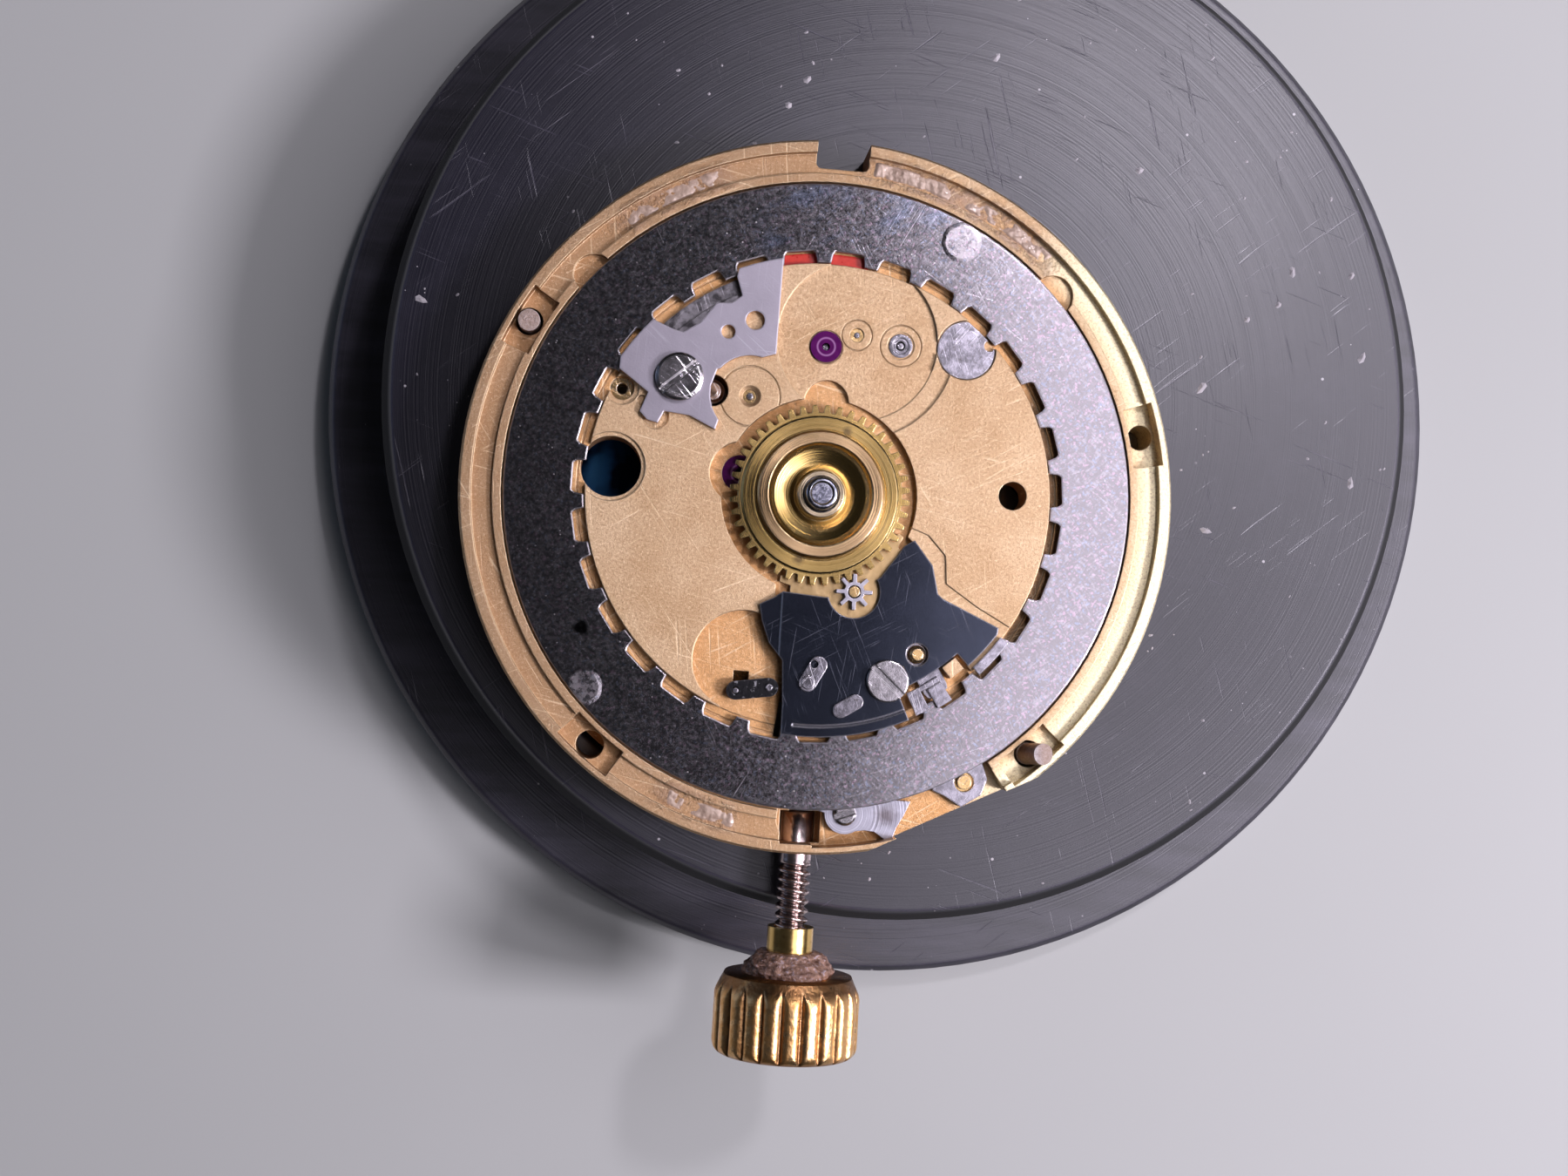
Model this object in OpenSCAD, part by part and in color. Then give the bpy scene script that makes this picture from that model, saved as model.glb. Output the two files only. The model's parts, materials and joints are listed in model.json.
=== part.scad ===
// Watch movement resting dial side up on a turned bench holder.
// Origin: centre of the holder's underside. +Z is up and the winding stem points along -Y.
// Movement parts are drawn from the movement's own centre, with Z = 0 on the main plate's outer lip.

/* [Holder] */
// Radius of the foot flange
flange_r = 22.4; // [22:0.1:26]
// Thickness of the foot flange
flange_h = 2.0; // [1.5:0.1:3]
// Radius of the raised disc
disc_r = 19.2; // [18.8:0.1:21]
// Height of the disc's top face above the bench
disc_z = 7.5; // [7:0.1:12]
// Depth of the recess that takes the underside of the movement
recess_d = 3.4; // [3:0.1:4.5]

/* [Movement] */
// Offset of the movement's centre from the holder's centre along X
mv_x = -3.25; // [-4:0.05:4]
// Offset of the movement's centre from the holder's centre along Y
mv_y = -4.0; // [-4.4:0.1:-3.6]
// Radius of the main plate's rim
plate_r = 13.0; // [12.9:0.05:13.2]
// Height of the rim above the holder's top face
rim_h = 2.6; // [2.6:0.05:2.9]

/* [Calendar] */
// Number of teeth inside the date ring
date_teeth = 31; // [31:1:31]
// Radius of the date ring's outer edge
date_ring_r = 11.42; // [11.40:0.01:11.45]
// Thickness of the date ring
date_ring_t = 0.25; // [0.2:0.01:0.3]

/* [Motion work] */
// Teeth of the hour wheel
hour_teeth = 44; // [44:1:44]
// Leaves of the minute wheel's pinion
minute_leaves = 8; // [8:1:8]
// Teeth of the minute wheel
minute_teeth = 24; // [24:1:24]
// Leaves of the cannon pinion
cannon_leaves = 11; // [11:1:11]
// Distance from the centre to the minute wheel's post
minute_dist = 3.72; // [3.72:0.01:3.74]

/* [Crown] */
// Radius of the crown over its flutes
crown_r = 2.69; // [2.4:0.01:2.8]
// Number of flutes round the crown
crown_flutes = 22; // [18:1:26]
// How far the crown's inner face stands from the movement's centre
crown_start = 17.55; // [17.5:0.05:17.7]
// Length of the crown
crown_len = 2.9; // [2.6:0.1:3.2]

/* [Hidden] */
$fn = 96;
eps = 0.01;

// Levels below (-) or above (+) the main plate's outer lip
face_z = disc_z + rim_h;
lip_inner_z = -0.10;
channel_z = -0.30;
centre_z = -0.10;
seat_z = -0.50;
wheel_floor_z = -0.45;
under_z = -1.6;
skirt_z = -3.2;
stem_z = -1.6;
pocket_z = -0.95;
bridge_z = -3.5;
bridge_t = 0.6;

// Radii of the main plate's rings
lip_r = 12.56;
channel_r = 11.80;
seat_r = 11.49;
centre_r = 8.48;
wheel_floor_r = 3.58;
skirt_r = 12.1;
cavity_r = 11.3;

// Date ring
date_pitch = 360 / date_teeth;
date_phase = 10.7;
date_tip_r = 8.53;
date_root_r = 8.96;
date_top_z = -0.15;

// Places, as [x, y] from the movement's centre
minute_a = -67.1;
minute_xy = [minute_dist * cos(minute_a), minute_dist * sin(minute_a)];
escape_xy = [-0.06, 5.45];
pallet_xy = [2.68, 5.68];
balance_xy = [5.09, 5.67];
third_xy = [-2.91, 0.65];
barrel_xy = [-5.2, -5.2];
brass_pivot_xy = [1.05, 5.96];
pad_xy = [-2.73, 3.45];
lever_pivot_xy = [1.65, -11.51];
lever_tip_xy = [0.45, -11.13];
grey_screw_xy = [-5.33, 3.93];
black_screw_xy = [2.83, -6.58];
cock_foot_xy = [9.6, 0.6];
jumper_post_xy = [3.88, -5.56];
jumper_end_xy = [4.62, -6.7];
corrector_xy = [-2.62, -7.23];
corrector_end_xy = [-1.42, -7.05];
bolt_xy = [-0.05, -6.8];
stud_xy = [-4.1, 3.57];
wide_circle_xy = [1.07, 5.75];
bracket_pin_xy = [5.97, -10.12];
bridge_feet = [[155, 10.3], [-45, 10.3], [-102.5, 10.3]];
// Dial foot holes: [angle, distance, radius]
foot_holes = [[152.4, 12.26, 0.50], [-47.3, 12.18, 0.50], [14, 12.18, 0.46], [-129.2, 12.25, 0.51]];
// Cut-off feet in the first two holes: [direction of the lean, lean, length above the hole]
foot_stubs = [[-60, 4, 0.75], [8, 20, 1.15]];

function polar(r, a) = [r * cos(a), r * sin(a)];
function arc(r, a0, a1, n) = [for (i = [0 : n]) polar(r, a0 + (a1 - a0) * i / n)];

// Outline of a spur gear: flat-topped teeth with straight flanks
function gear_points(n, tip, root, tip_share, root_share, phase = 0) = [
    for (i = [0 : n - 1], k = [0 : 3])
        let (p = 360 / n, a = phase + i * p,
             d = (k == 0 || k == 3 ? root_share : tip_share) * p / 2)
            polar(k == 0 || k == 3 ? root : tip, a + (k < 2 ? -d : d))];

module at_movement() translate([mv_x, mv_y, face_z]) children();
module at(xy, z = 0) translate([xy[0], xy[1], z]) children();

// Wedge of a full turn, for cutting sectors
module wedge(a0, a1, r) polygon(concat([[0, 0]], arc(r, a0, a1, max(2, ceil(abs(a1 - a0) / 30)))));

module ring_sector(r0, r1, a0, a1) intersection() {
    difference() {
        circle(r1);
        circle(r0);
    }
    wedge(a0, a1, r1 * 1.3);
}

// Annular slab: centre xy, radii, from z0 up to z1
module washer(r_out, r_in, z0, z1) translate([0, 0, z0]) difference() {
    cylinder(h = z1 - z0, r = r_out);
    translate([0, 0, -eps]) cylinder(h = z1 - z0 + 2 * eps, r = r_in);
}

// Pill shape between two points
module pill(p, q, r) {
    d = q - p;
    translate(p) circle(r);
    translate(q) circle(r);
    translate(p) rotate(atan2(d[1], d[0])) translate([0, -r]) square([norm(d), 2 * r]);
}

// Slotted screw head with a chamfered rim and a short shank
module slotted_screw(r, z0, z1, slot_a, shank_r, shank_z, chamfer = 0.05) {
    slot_w = 0.22;
    slot_depth = 0.13;
    difference() {
        union() {
            translate([0, 0, z0]) cylinder(h = z1 - z0 - chamfer / 2, r = r);
            translate([0, 0, z1 - chamfer / 2])
                cylinder(h = chamfer / 2, r1 = r, r2 = r - chamfer);
        }
        rotate(slot_a) translate([-r - 1, -slot_w / 2, z1 - slot_depth])
            cube([2 * r + 2, slot_w, 1]);
    }
    translate([0, 0, shank_z]) cylinder(h = z0 - shank_z, r = shank_r);
}

// Fine engraved circle, from depth z up through the face
module engraved(r, z, w = 0.05) translate([0, 0, z]) difference() {
    cylinder(h = 1, r = r);
    translate([0, 0, -1]) cylinder(h = 3, r = r - w);
}

// ---------- Holder ----------

module holder_body() color([0.06, 0.06, 0.08]) difference() {
    rotate_extrude($fn = 160) polygon([[0, 0], [flange_r - 0.25, 0], [flange_r, 0.25],
        [flange_r, flange_h - 0.22], [flange_r - 0.22, flange_h], [disc_r + 0.62, flange_h],
        [disc_r + 0.42, flange_h + 0.2], [disc_r + 0.42, disc_z - 0.55], [disc_r, disc_z],
        [0, disc_z]]);
    translate([mv_x, mv_y, disc_z - recess_d]) cylinder(h = recess_d + 1, r = skirt_r + 0.08);
    translate([mv_x, mv_y, disc_z - 0.15])
        cylinder(h = 0.15 + eps, r1 = skirt_r + 0.08, r2 = skirt_r + 0.24);
}

// ---------- Main plate ----------

module plate_blank() rotate_extrude($fn = 160) polygon([[0.40, under_z], [0.40, wheel_floor_z],
    [wheel_floor_r, wheel_floor_z], [wheel_floor_r, centre_z], [centre_r, centre_z],
    [centre_r, seat_z], [seat_r, seat_z], [seat_r, lip_inner_z], [channel_r, lip_inner_z],
    [channel_r, channel_z], [lip_r, channel_z], [lip_r, 0], [plate_r - 0.08, 0],
    [plate_r, -0.08], [plate_r, -rim_h], [skirt_r, -rim_h], [skirt_r, skirt_z],
    [cavity_r, skirt_z], [cavity_r, under_z]]);

// Boss under the plate that carries the stem's inner end
module stem_boss() translate([-0.9, -7.6, stem_z - 0.8]) cube([1.8, 1.2, 0.85]);

// Cuts through the rim: casing notch, flat beside the stem and a small nick
module rim_cuts() {
    rotate(89.2) translate([12.2, -0.97, -rim_h - eps]) cube([2, 1.94, rim_h + 1]);
    for (s = [-1, 1])
        rotate(89.2) translate([12.2, s * 0.77, -rim_h - eps]) cylinder(h = rim_h + 1, r = 0.2);
    rotate(89.2) translate([12.0, -0.77, -rim_h - eps]) cube([1, 1.54, rim_h + 1]);
    rotate(-63.8) translate([12.55, -4, -rim_h - eps]) cube([2, 8, rim_h + 1]);
    rotate(56.5) translate([12.95, -0.12, -0.6]) cube([1, 0.24, 1]);
}

// Long dial foot slots in the channel, and their holes
module foot_cuts() for (f = foot_holes) {
    translate([0, 0, -0.62]) linear_extrude(1) ring_sector(11.66, 12.74, f[0] - 5.3, f[0] + 5.3);
    at(polar(f[1], f[0]), -rim_h - eps) cylinder(h = rim_h + 1, r = f[2]);
}

// Half-round scoops in the inner lip
module scoop_cuts() for (a = [139, 44])
    at(polar(11.45, a), seat_z) cylinder(h = 1, r = 0.74);

// Pocket for the setting lever and its bracket, beside the flat
module lever_pocket() {
    translate([0, 0, pocket_z]) linear_extrude(2) ring_sector(10.3, 12.75, -88, -54.2);
    // room for the lever's tip round the stem
    translate([0, 0, pocket_z]) linear_extrude(2) ring_sector(10.35, 11.6, -92, -86);
    at(lever_pivot_xy, under_z) cylinder(h = 1, r = 0.20);
    at(bracket_pin_xy, -1.4) cylinder(h = 1, r = 0.26);
}

// Window over the stem, the stem's bore and the space for the clutch
module stem_cuts() {
    translate([-0.72, -12.64, stem_z]) cube([1.52, 1.16, 2]);
    at([0.03, -11.73], -0.62) cylinder(h = 1, r = 0.9);
    on_stem(-7.9) cylinder(h = 5.5, r = 0.64);
    on_stem(-6.3) cylinder(h = 2, r = 0.26);
    translate([-1.1, -11.3, -3]) cube([2.2, 3.4, 3 - 0.7]);
}

// Recesses in the dial face of the centre plate
module face_recesses() {
    z = wheel_floor_z;
    // minute wheel pocket, and lobes at the hour wheel's edge
    at(minute_xy, z) cylinder(h = 1, r = 2.85);
    at(third_xy, z) cylinder(h = 1, r = 1.13);
    at([0.08, 3.42], z) cylinder(h = 1, r = 0.82);
    // half-round recess under the corrector lever, open to the teeth
    at([-2.43, -6.14], z) cylinder(h = 1, r = 1.83);
    translate([0, 0, z]) linear_extrude(1) ring_sector(6.2, 8.6, -112, -93.5);
    // pocket for the date jumper
    translate([0, 0, z]) linear_extrude(1) {
        pill(jumper_post_xy, jumper_end_xy, 0.64);
        ring_sector(7.62, 8.6, -65, -45.5);
    }
    // recess under the date retaining plate's scoop
    translate([0, 0, z]) linear_extrude(1) ring_sector(7.1, 8.6, 110, 139);
    // groove round the ledge that the date ring's teeth pass over
    translate([0, 0, seat_z]) engraved(8.82, -0.05, 0.06);
}

// Shallow turned and milled steps on the dial face
module face_steps() {
    // two stepped circles round the escapement's pivots
    at(wide_circle_xy, centre_z - 0.10) intersection() {
        cylinder(h = 1, r = 3.62);
        rotate(-60) translate([2.2, -5, -1]) cube([4, 10, 3]);
    }
    at(wide_circle_xy, centre_z - 0.13) cylinder(h = 1, r = 2.95);
    at(pad_xy, centre_z - 0.05) engraved(1.12, 0);
    at(brass_pivot_xy, centre_z - 0.18) engraved(0.58, 0, 0.04);
    at(pallet_xy, centre_z - 0.18) engraved(0.78, 0, 0.04);
    at(escape_xy, centre_z - 0.18) cylinder(h = 1, r = 0.62);
    // band beside the jumper plate
    translate([0, 0, centre_z - 0.07]) linear_extrude(1)
        polygon([[3.3, -0.9], [4.1, -1.2], [4.75, -1.9], [4.84, -2.93], [6.02, -3.7],
            [7.5, -4.5], [6.98, -4.9], [4.3, -3.3], [3.4, -1.8]]);
    // notches round the retaining plate's tail
    at([-6.1, 2.5], centre_z - 0.12) cylinder(h = 1, r = 0.48);
    at([-6.62, 3.02], centre_z - 0.12) cylinder(h = 1, r = 0.20);
}

// Holes through the centre plate: [place, radius]
module face_holes() {
    holes = [[[-7.6, 0.58], 1.10], [[7.09, 0.44], 0.52], [[-7.36, 3.45], 0.44], [pad_xy, 0.26],
        [escape_xy, 0.57], [pallet_xy, 0.41], [brass_pivot_xy, 0.26], [third_xy, 0.66],
        [minute_xy, 0.24], [grey_screw_xy, 0.45], [black_screw_xy, 0.45], [stud_xy, 0.58]];
    for (h = holes) at(h[0], under_z - eps) cylinder(h = 2, r = h[1]);
    at([-7.6, 0.58], -0.2) cylinder(h = 1, r = 1.25);
    at([-7.36, 3.45], -0.22) cylinder(h = 1, r = 0.62);
    at(brass_pivot_xy, -0.24) cylinder(h = 1, r1 = 0.24, r2 = 1.6);
    at(pallet_xy, -0.27) cylinder(h = 1, r = 0.50);
    at(pad_xy, -0.2) cylinder(h = 1, r1 = 0.27, r2 = 1.6);
    at(balance_xy, -0.32) cylinder(h = 1, r = 1.10);
    at(balance_xy, under_z - eps) cylinder(h = 2, r = 0.5);
    translate([0, 0, under_z - eps]) linear_extrude(2) ring_sector(7.0, 8.9, -97.5, -93.2);
    // square hole beside the corrector lever
    translate([-2.72, -7.1, under_z - eps]) cube([0.56, 0.58, 2]);
}

module main_plate() color([0.85, 0.66, 0.38]) at_movement() difference() {
    union() {
        plate_blank();
        stem_boss();
    }
    rim_cuts();
    foot_cuts();
    scoop_cuts();
    lever_pocket();
    stem_cuts();
    face_recesses();
    face_steps();
    face_holes();
}

// ---------- Calendar ----------

module date_ring() color([0.35, 0.36, 0.38]) at_movement()
    translate([0, 0, date_top_z - date_ring_t]) linear_extrude(date_ring_t) difference() {
        circle(date_ring_r, $fn = 160);
        circle(date_tip_r);
        for (i = [0 : date_teeth - 1]) {
            a = date_phase + (i + 0.5) * date_pitch;
            polygon([polar(8.3, a - 4.5), polar(date_root_r - 0.12, a - 3.75),
                polar(date_root_r, a - 3.2), polar(date_root_r, a + 3.2),
                polar(date_root_r - 0.12, a + 3.75), polar(8.3, a + 4.5)]);
        }
    }

// Grey plate that holds the date ring's teeth down
module date_retaining_plate() color([0.62, 0.6, 0.68]) at_movement()
    translate([0, 0, centre_z]) linear_extrude(0.22) difference() {
        polygon(concat(arc(8.72, 102, 113, 3), [[-3.46, 7.73], [-3.23, 7.05], [-3.6, 6.76],
            [-4.13, 6.73], [-4.7, 5.96], [-5.29, 5.58], [-5.68, 5.67]], arc(8.75, 137, 148.8, 3),
            [[-7.5, 4.1], [-6.42, 3.32], [-6.68, 2.61], [-6.4, 2.32], [-6.01, 2.23],
            [-5.8, 2.67], [-4.87, 2.57], [-3.93, 2.13], [-3.83, 2.48], [-4.09, 2.92],
            [-4.18, 3.69], [-3.98, 4.32], [-1.88, 5.02]]));
        translate(pad_xy) circle(1.45);
        translate([-2.71, 6.18]) circle(0.34);
        translate([-3.66, 5.7]) circle(0.25);
        translate(grey_screw_xy) circle(0.47);
    }

module retaining_plate_screw() color([0.7, 0.7, 0.72]) at_movement() at(grey_screw_xy)
    slotted_screw(0.87, centre_z + 0.22, 0.40, 41, 0.43, -1.5, 0.12);

// Black polished plate over the winding work; its outer edge lies over the date ring's teeth
module jumper_plate() color([0.05, 0.06, 0.1]) at_movement() difference() {
    translate([0, 0, centre_z]) linear_extrude(0.24) difference() {
        polygon(concat([[-0.92, -8.70], [-0.92, -7.6], [-1.01, -6.05], [-1.52, -5.45],
            [-1.82, -4.68], [-1.94, -4.05], [-1.46, -3.8], [-1.13, -3.56], [0.46, -3.68],
            [1.45, -3.43], [2.38, -2.85], [3.18, -1.66], [3.55, -1.42], [3.84, -1.78],
            [4.26, -2.3], [4.4, -2.84], [4.51, -3.32], [4.7, -3.48], [6.8, -4.42]],
            arc(8.22, -34.5, -63, 9), arc(8.76, -65, -96, 10)));
        circle(wheel_floor_r);
        translate(minute_xy) circle(0.95);
        ring_sector(7.62, 9, -65, -45.5);
        translate(jumper_post_xy) circle(0.40);
        translate(black_screw_xy) circle(0.47);
        translate(bolt_xy) circle(0.26);
    }
    // lower step along its left edge, and the groove inside its outer band
    translate([-4.15, -6.6, 0.08]) cube([3, 4, 1]);
    translate([0, 0, 0.08]) linear_extrude(1) ring_sector(8.33, 8.41, -93.5, -65);
}

module jumper_plate_screw() color([0.75, 0.75, 0.76]) at_movement() at(black_screw_xy)
    slotted_screw(0.77, centre_z + 0.24, 0.36, -42, 0.43, -1.5);

// Brass post that the date jumper swings on
module jumper_plate_post() color([0.8, 0.6, 0.3]) at_movement() at(jumper_post_xy) {
    translate([0, 0, wheel_floor_z]) cylinder(h = 0.57, r = 0.28);
    translate([0, 0, 0.12]) cylinder(h = 0.06, r1 = 0.28, r2 = 0.20);
}

// Small steel pieces riveted into the jumper plate
module jumper_bolt() color([0.6, 0.62, 0.66]) at_movement() {
    at(bolt_xy, centre_z) cylinder(h = 0.42, r = 0.23);
    translate([0, 0, centre_z + 0.24]) linear_extrude(0.12) difference() {
        pill(bolt_xy, [0.3, -6.15], 0.32);
        translate([0.15, -6.12]) circle(0.14);
    }
    translate([0, 0, centre_z + 0.24]) linear_extrude(0.1) pill([1.19, -7.73], [1.72, -7.40], 0.28);
}

// Polished bar above the teeth, beyond the jumper plate's edge
module jumper_plate_rim() color([0.7, 0.7, 0.75]) at_movement()
    translate([0, 0, -0.09]) linear_extrude(0.17) ring_sector(8.38, 8.74, -44.8, -34.5);

// Brass block that the bar is riveted to
module banking_block() color([0.85, 0.66, 0.38]) at_movement()
    rotate(-49.0) translate([7.66, -0.3, wheel_floor_z]) cube([0.5, 0.6, 0.70]);

// Sprung beak that steadies the date ring between two steps
module date_jumper() color([0.65, 0.66, 0.7]) at_movement() {
    translate([0, 0, -0.36]) linear_extrude(0.2) intersection() {
        difference() {
            pill(jumper_post_xy, jumper_end_xy, 0.46);
            translate(jumper_post_xy) circle(0.33);
        }
        circle(8.42);
    }
    translate([0, 0, -0.36]) linear_extrude(0.4) ring_sector(7.85, 8.4, -57.5, -53.6);
    translate([0, 0, -0.08]) linear_extrude(0.18) ring_sector(8.06, 8.84, -57.5, -53.6);
    translate([0, 0, -0.08]) linear_extrude(0.14) ring_sector(7.84, 8.02, -63, -53.6);
    translate([0, 0, -0.08]) linear_extrude(0.24) ring_sector(7.84, 8.72, -63, -59.4);
}

// Turned stud half hidden by the date retaining plate
module plate_stud() color([0.6, 0.6, 0.62]) at_movement() at(stud_xy) {
    translate([0, 0, -1.4]) cylinder(h = 0.95, r = 0.44);
    translate([0, 0, -0.46]) cylinder(h = 0.14, r1 = 0.44, r2 = 0.3);
    translate([0, 0, -0.33]) cylinder(h = 0.12, r = 0.2);
}

// Dark steel guard seen through the date retaining plate's scoop
module date_ring_guard() color([0.3, 0.3, 0.32]) at_movement() {
    translate([0, 0, wheel_floor_z]) linear_extrude(0.14) ring_sector(7.15, 8.42, 111, 138);
    translate([0, 0, -0.32]) linear_extrude(0.1) ring_sector(7.25, 7.9, 112, 137);
}

// Black quick-set lever with a steel end
module corrector_lever() color([0.1, 0.1, 0.11]) at_movement()
    translate([0, 0, -0.38]) linear_extrude(0.34) difference() {
        pill(corrector_xy, corrector_end_xy, 0.34);
        translate(corrector_xy) circle(0.13);
        translate(corrector_end_xy) circle(0.12);
    }

// Steel pin at the end of the quick-set lever
module corrector_pin() color("silver") at_movement() at(corrector_end_xy, -0.38)
    cylinder(h = 0.42, r = 0.12);

module corrector_post() color("silver") at_movement() at(corrector_xy, wheel_floor_z)
    cylinder(h = 0.45, r = 0.10);

// Polished cap over the balance staff's dial-side jewel
module balance_end_piece() color([0.75, 0.76, 0.78]) at_movement()
    translate([0, 0, -0.32]) linear_extrude(0.15) intersection() {
        difference() {
            translate(balance_xy) circle(1.06);
            translate(balance_xy + [0.86, 0.22]) circle(0.2);
        }
        circle(8.46);
    }

// Pressed jewels that carry train pivots
module pivot_jewels() color([0.45, 0.05, 0.4]) at_movement() {
    at(escape_xy) washer(0.57, 0.14, -0.9, -0.16);
    at(third_xy) washer(0.66, 0.18, -0.95, wheel_floor_z - 0.03);
}

// Brass bushes pressed into the plate
module brass_bushes() color([0.85, 0.66, 0.35]) at_movement() {
    at(brass_pivot_xy) washer(0.26, 0.1, -1.2, -0.30);
    at(pad_xy) washer(0.26, 0.12, -1.2, -0.26);
    at([-7.36, 3.45]) washer(0.44, 0.2, -1.4, -0.5);
}

module bush_ring() color([0.6, 0.6, 0.6]) at_movement() at(pallet_xy) {
    washer(0.41, 0.17, -1.3, -0.27);
    washer(0.44, 0.3, -0.27, -0.24);
}

// Ends of the train pivots, seen in their bushes
module pivot_ends() color("silver") at_movement() {
    at(brass_pivot_xy, -1.1) cylinder(h = 0.85, r = 0.095);
    at(pad_xy, -1.1) cylinder(h = 0.92, r = 0.115);
}

// Red lacquered strip seen between the ring's teeth
module red_strip() color([0.75, 0.05, 0.03]) at_movement()
    translate([0, 0, seat_z]) linear_extrude(0.07) ring_sector(8.49, 8.9, 81, 102.5);

// Cut-off dial feet left in two of the four holes, the second one bent over
module dial_foot_stubs() color([0.55, 0.52, 0.5]) at_movement() for (i = [0 : 1])
    at(polar(foot_holes[i][1], foot_holes[i][0])) {
        r = 0.40;
        translate([0, 0, -2.2]) cylinder(h = 1.55, r = r);
        translate([0, 0, -0.72]) rotate([0, foot_stubs[i][1], foot_stubs[i][0]])
            cylinder(h = foot_stubs[i][2], r = r - 0.01);
    }

// ---------- Motion work ----------

// Gear sizes: the module times half the teeth is the pitch radius
minute_module = minute_dist / (hour_teeth + minute_leaves) * 2;
hour_pitch_r = minute_module * hour_teeth / 2;
leaf_pitch_r = minute_module * minute_leaves / 2;
drive_module = minute_dist / (cannon_leaves + minute_teeth) * 2;
cannon_pitch_r = drive_module * cannon_leaves / 2;
minute_pitch_r = drive_module * minute_teeth / 2;

module hour_wheel() color([0.8, 0.62, 0.22]) at_movement() difference() {
    union() {
        translate([0, 0, 0]) linear_extrude(0.2) difference() {
            polygon(gear_points(hour_teeth, hour_pitch_r + 0.125, hour_pitch_r - 0.16, 0.34,
                0.62, minute_a));
            circle(2.5);
        }
        rotate_extrude() polygon([[0.67, -0.08], [2.86, -0.08], [2.86, 0.25], [2.80, 0.29],
            [2.40, 0.29], [2.38, 0.26], [2.34, 0.26], [2.32, 0.30], [2.30, 0.48], [2.24, 0.54],
            [1.90, 0.54], [1.84, 0.50], [1.80, 0.40], [1.66, 0.30], [0.94, 0.06], [0.90, 0.10],
            [0.87, 0.34], [0.86, 0.34], [0.86, 0.60], [0.82, 0.64], [0.67, 0.64]]);
    }
    translate([0, 0, -1]) cylinder(h = 3, r = 0.67);
}

// Fixed tube round which the cannon pinion turns
module centre_tube() color([0.8, 0.65, 0.35]) at_movement()
    washer(0.40, 0.24, under_z - 0.3, 0.88);

// Cannon pinion; its reduced upper end takes the minute hand
module cannon_pinion() color([0.75, 0.75, 0.78]) at_movement() difference() {
    union() {
        translate([0, 0, -0.41]) linear_extrude(0.27)
            polygon(gear_points(cannon_leaves, cannon_pitch_r + 0.16, cannon_pitch_r - 0.24, 0.3,
                0.6, minute_a + 180 / cannon_leaves));
        // body tapers slightly, so that only its seat is a plain cylinder
        rotate_extrude() polygon(concat([[0, -0.41], [0.635, -0.41], [0.615, 0.66], [0.60, 0.68],
            [0.60, 0.94]], [for (a = [15 : 15 : 90]) [0.46 + 0.14 * cos(a), 0.94 + 0.14 * sin(a)]],
            [[0, 1.08]]));
    }
    translate([0, 0, -1]) cylinder(h = 3, r = 0.43);
}

module minute_wheel() color([0.78, 0.76, 0.78]) at_movement() at(minute_xy) difference() {
    union() {
        translate([0, 0, -0.41]) linear_extrude(0.25)
            polygon(gear_points(minute_teeth, minute_pitch_r + 0.16, minute_pitch_r - 0.24, 0.3,
                0.6, minute_a + 180));
        translate([0, 0, -0.2]) linear_extrude(0.44)
            polygon(gear_points(minute_leaves, leaf_pitch_r + 0.085, leaf_pitch_r - 0.2, 0.26, 0.5,
                minute_a + 180 + 180 / minute_leaves));
    }
    translate([0, 0, -1]) cylinder(h = 3, r = 0.24);
}

module minute_wheel_post() color([0.8, 0.65, 0.4]) at_movement() at(minute_xy, -1.2)
    cylinder(h = 1.46, r = 0.20);

// ---------- Winding and setting ----------

module on_stem(y) translate([0, y, stem_z]) rotate([90, 0, 0]) children();

module setting_lever() color([0.72, 0.72, 0.75]) at_movement() {
    translate([0, 0, -0.9]) linear_extrude(0.25) difference() {
        union() {
            pill(lever_pivot_xy, lever_tip_xy, 0.22);
            translate(lever_pivot_xy) circle(0.74);
            polygon([[1.9, -12.15], [2.41, -12.07], [2.78, -12.11], [3.16, -12.36], [3.43, -12.37],
                [3.56, -11.94], [3.83, -11.44], [4.04, -10.94], [2.0, -10.85]]);
        }
        translate(lever_pivot_xy) circle(0.22);
    }
    at(lever_tip_xy, -1.27) cylinder(h = 0.4, r = 0.10);
}

module setting_lever_screw() color([0.7, 0.7, 0.72]) at_movement() at(lever_pivot_xy)
    slotted_screw(0.42, -0.63, -0.45, 20, 0.19, -1.5, 0.1);

// Steel bracket in the pocket, held by a brass pin
module lever_bracket() color([0.75, 0.75, 0.77]) at_movement()
    translate([0, 0, pocket_z]) linear_extrude(0.34) difference() {
        polygon(concat([[4.85, -10.5], [5.25, -10.64], [5.9, -11.03], [6.62, -10.56],
            [6.82, -9.97], [6.62, -9.42]], arc(11.3, -55.2, -65, 4)));
        translate(bracket_pin_xy) circle(0.36);
    }

module bracket_pin() color([0.85, 0.65, 0.3]) at_movement() at(bracket_pin_xy) {
    translate([0, 0, -1.4]) cylinder(h = 0.9, r = 0.26);
    translate([0, 0, pocket_z]) washer(0.36, 0.26, 0, 0.2);
}

// Stem: square inner end, smooth journal with the lever's groove, threaded outer end
module stem() color([0.7, 0.65, 0.63]) at_movement() difference() {
    union() {
        on_stem(-6.9) cylinder(h = 1.6, r = 0.22);
        translate([-0.25, -9.75, stem_z - 0.25]) cube([0.5, 1.3, 0.5]);
        on_stem(-9.7) cylinder(h = 1.6, r = 0.38);
        on_stem(-10.87) cylinder(h = 2.43, r = 0.60);
        on_stem(-13.25) cylinder(h = 5.3, r = 0.62);
    }
    on_stem(-10.97) washer(1, 0.35, 0, 0.36);
}

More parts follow.
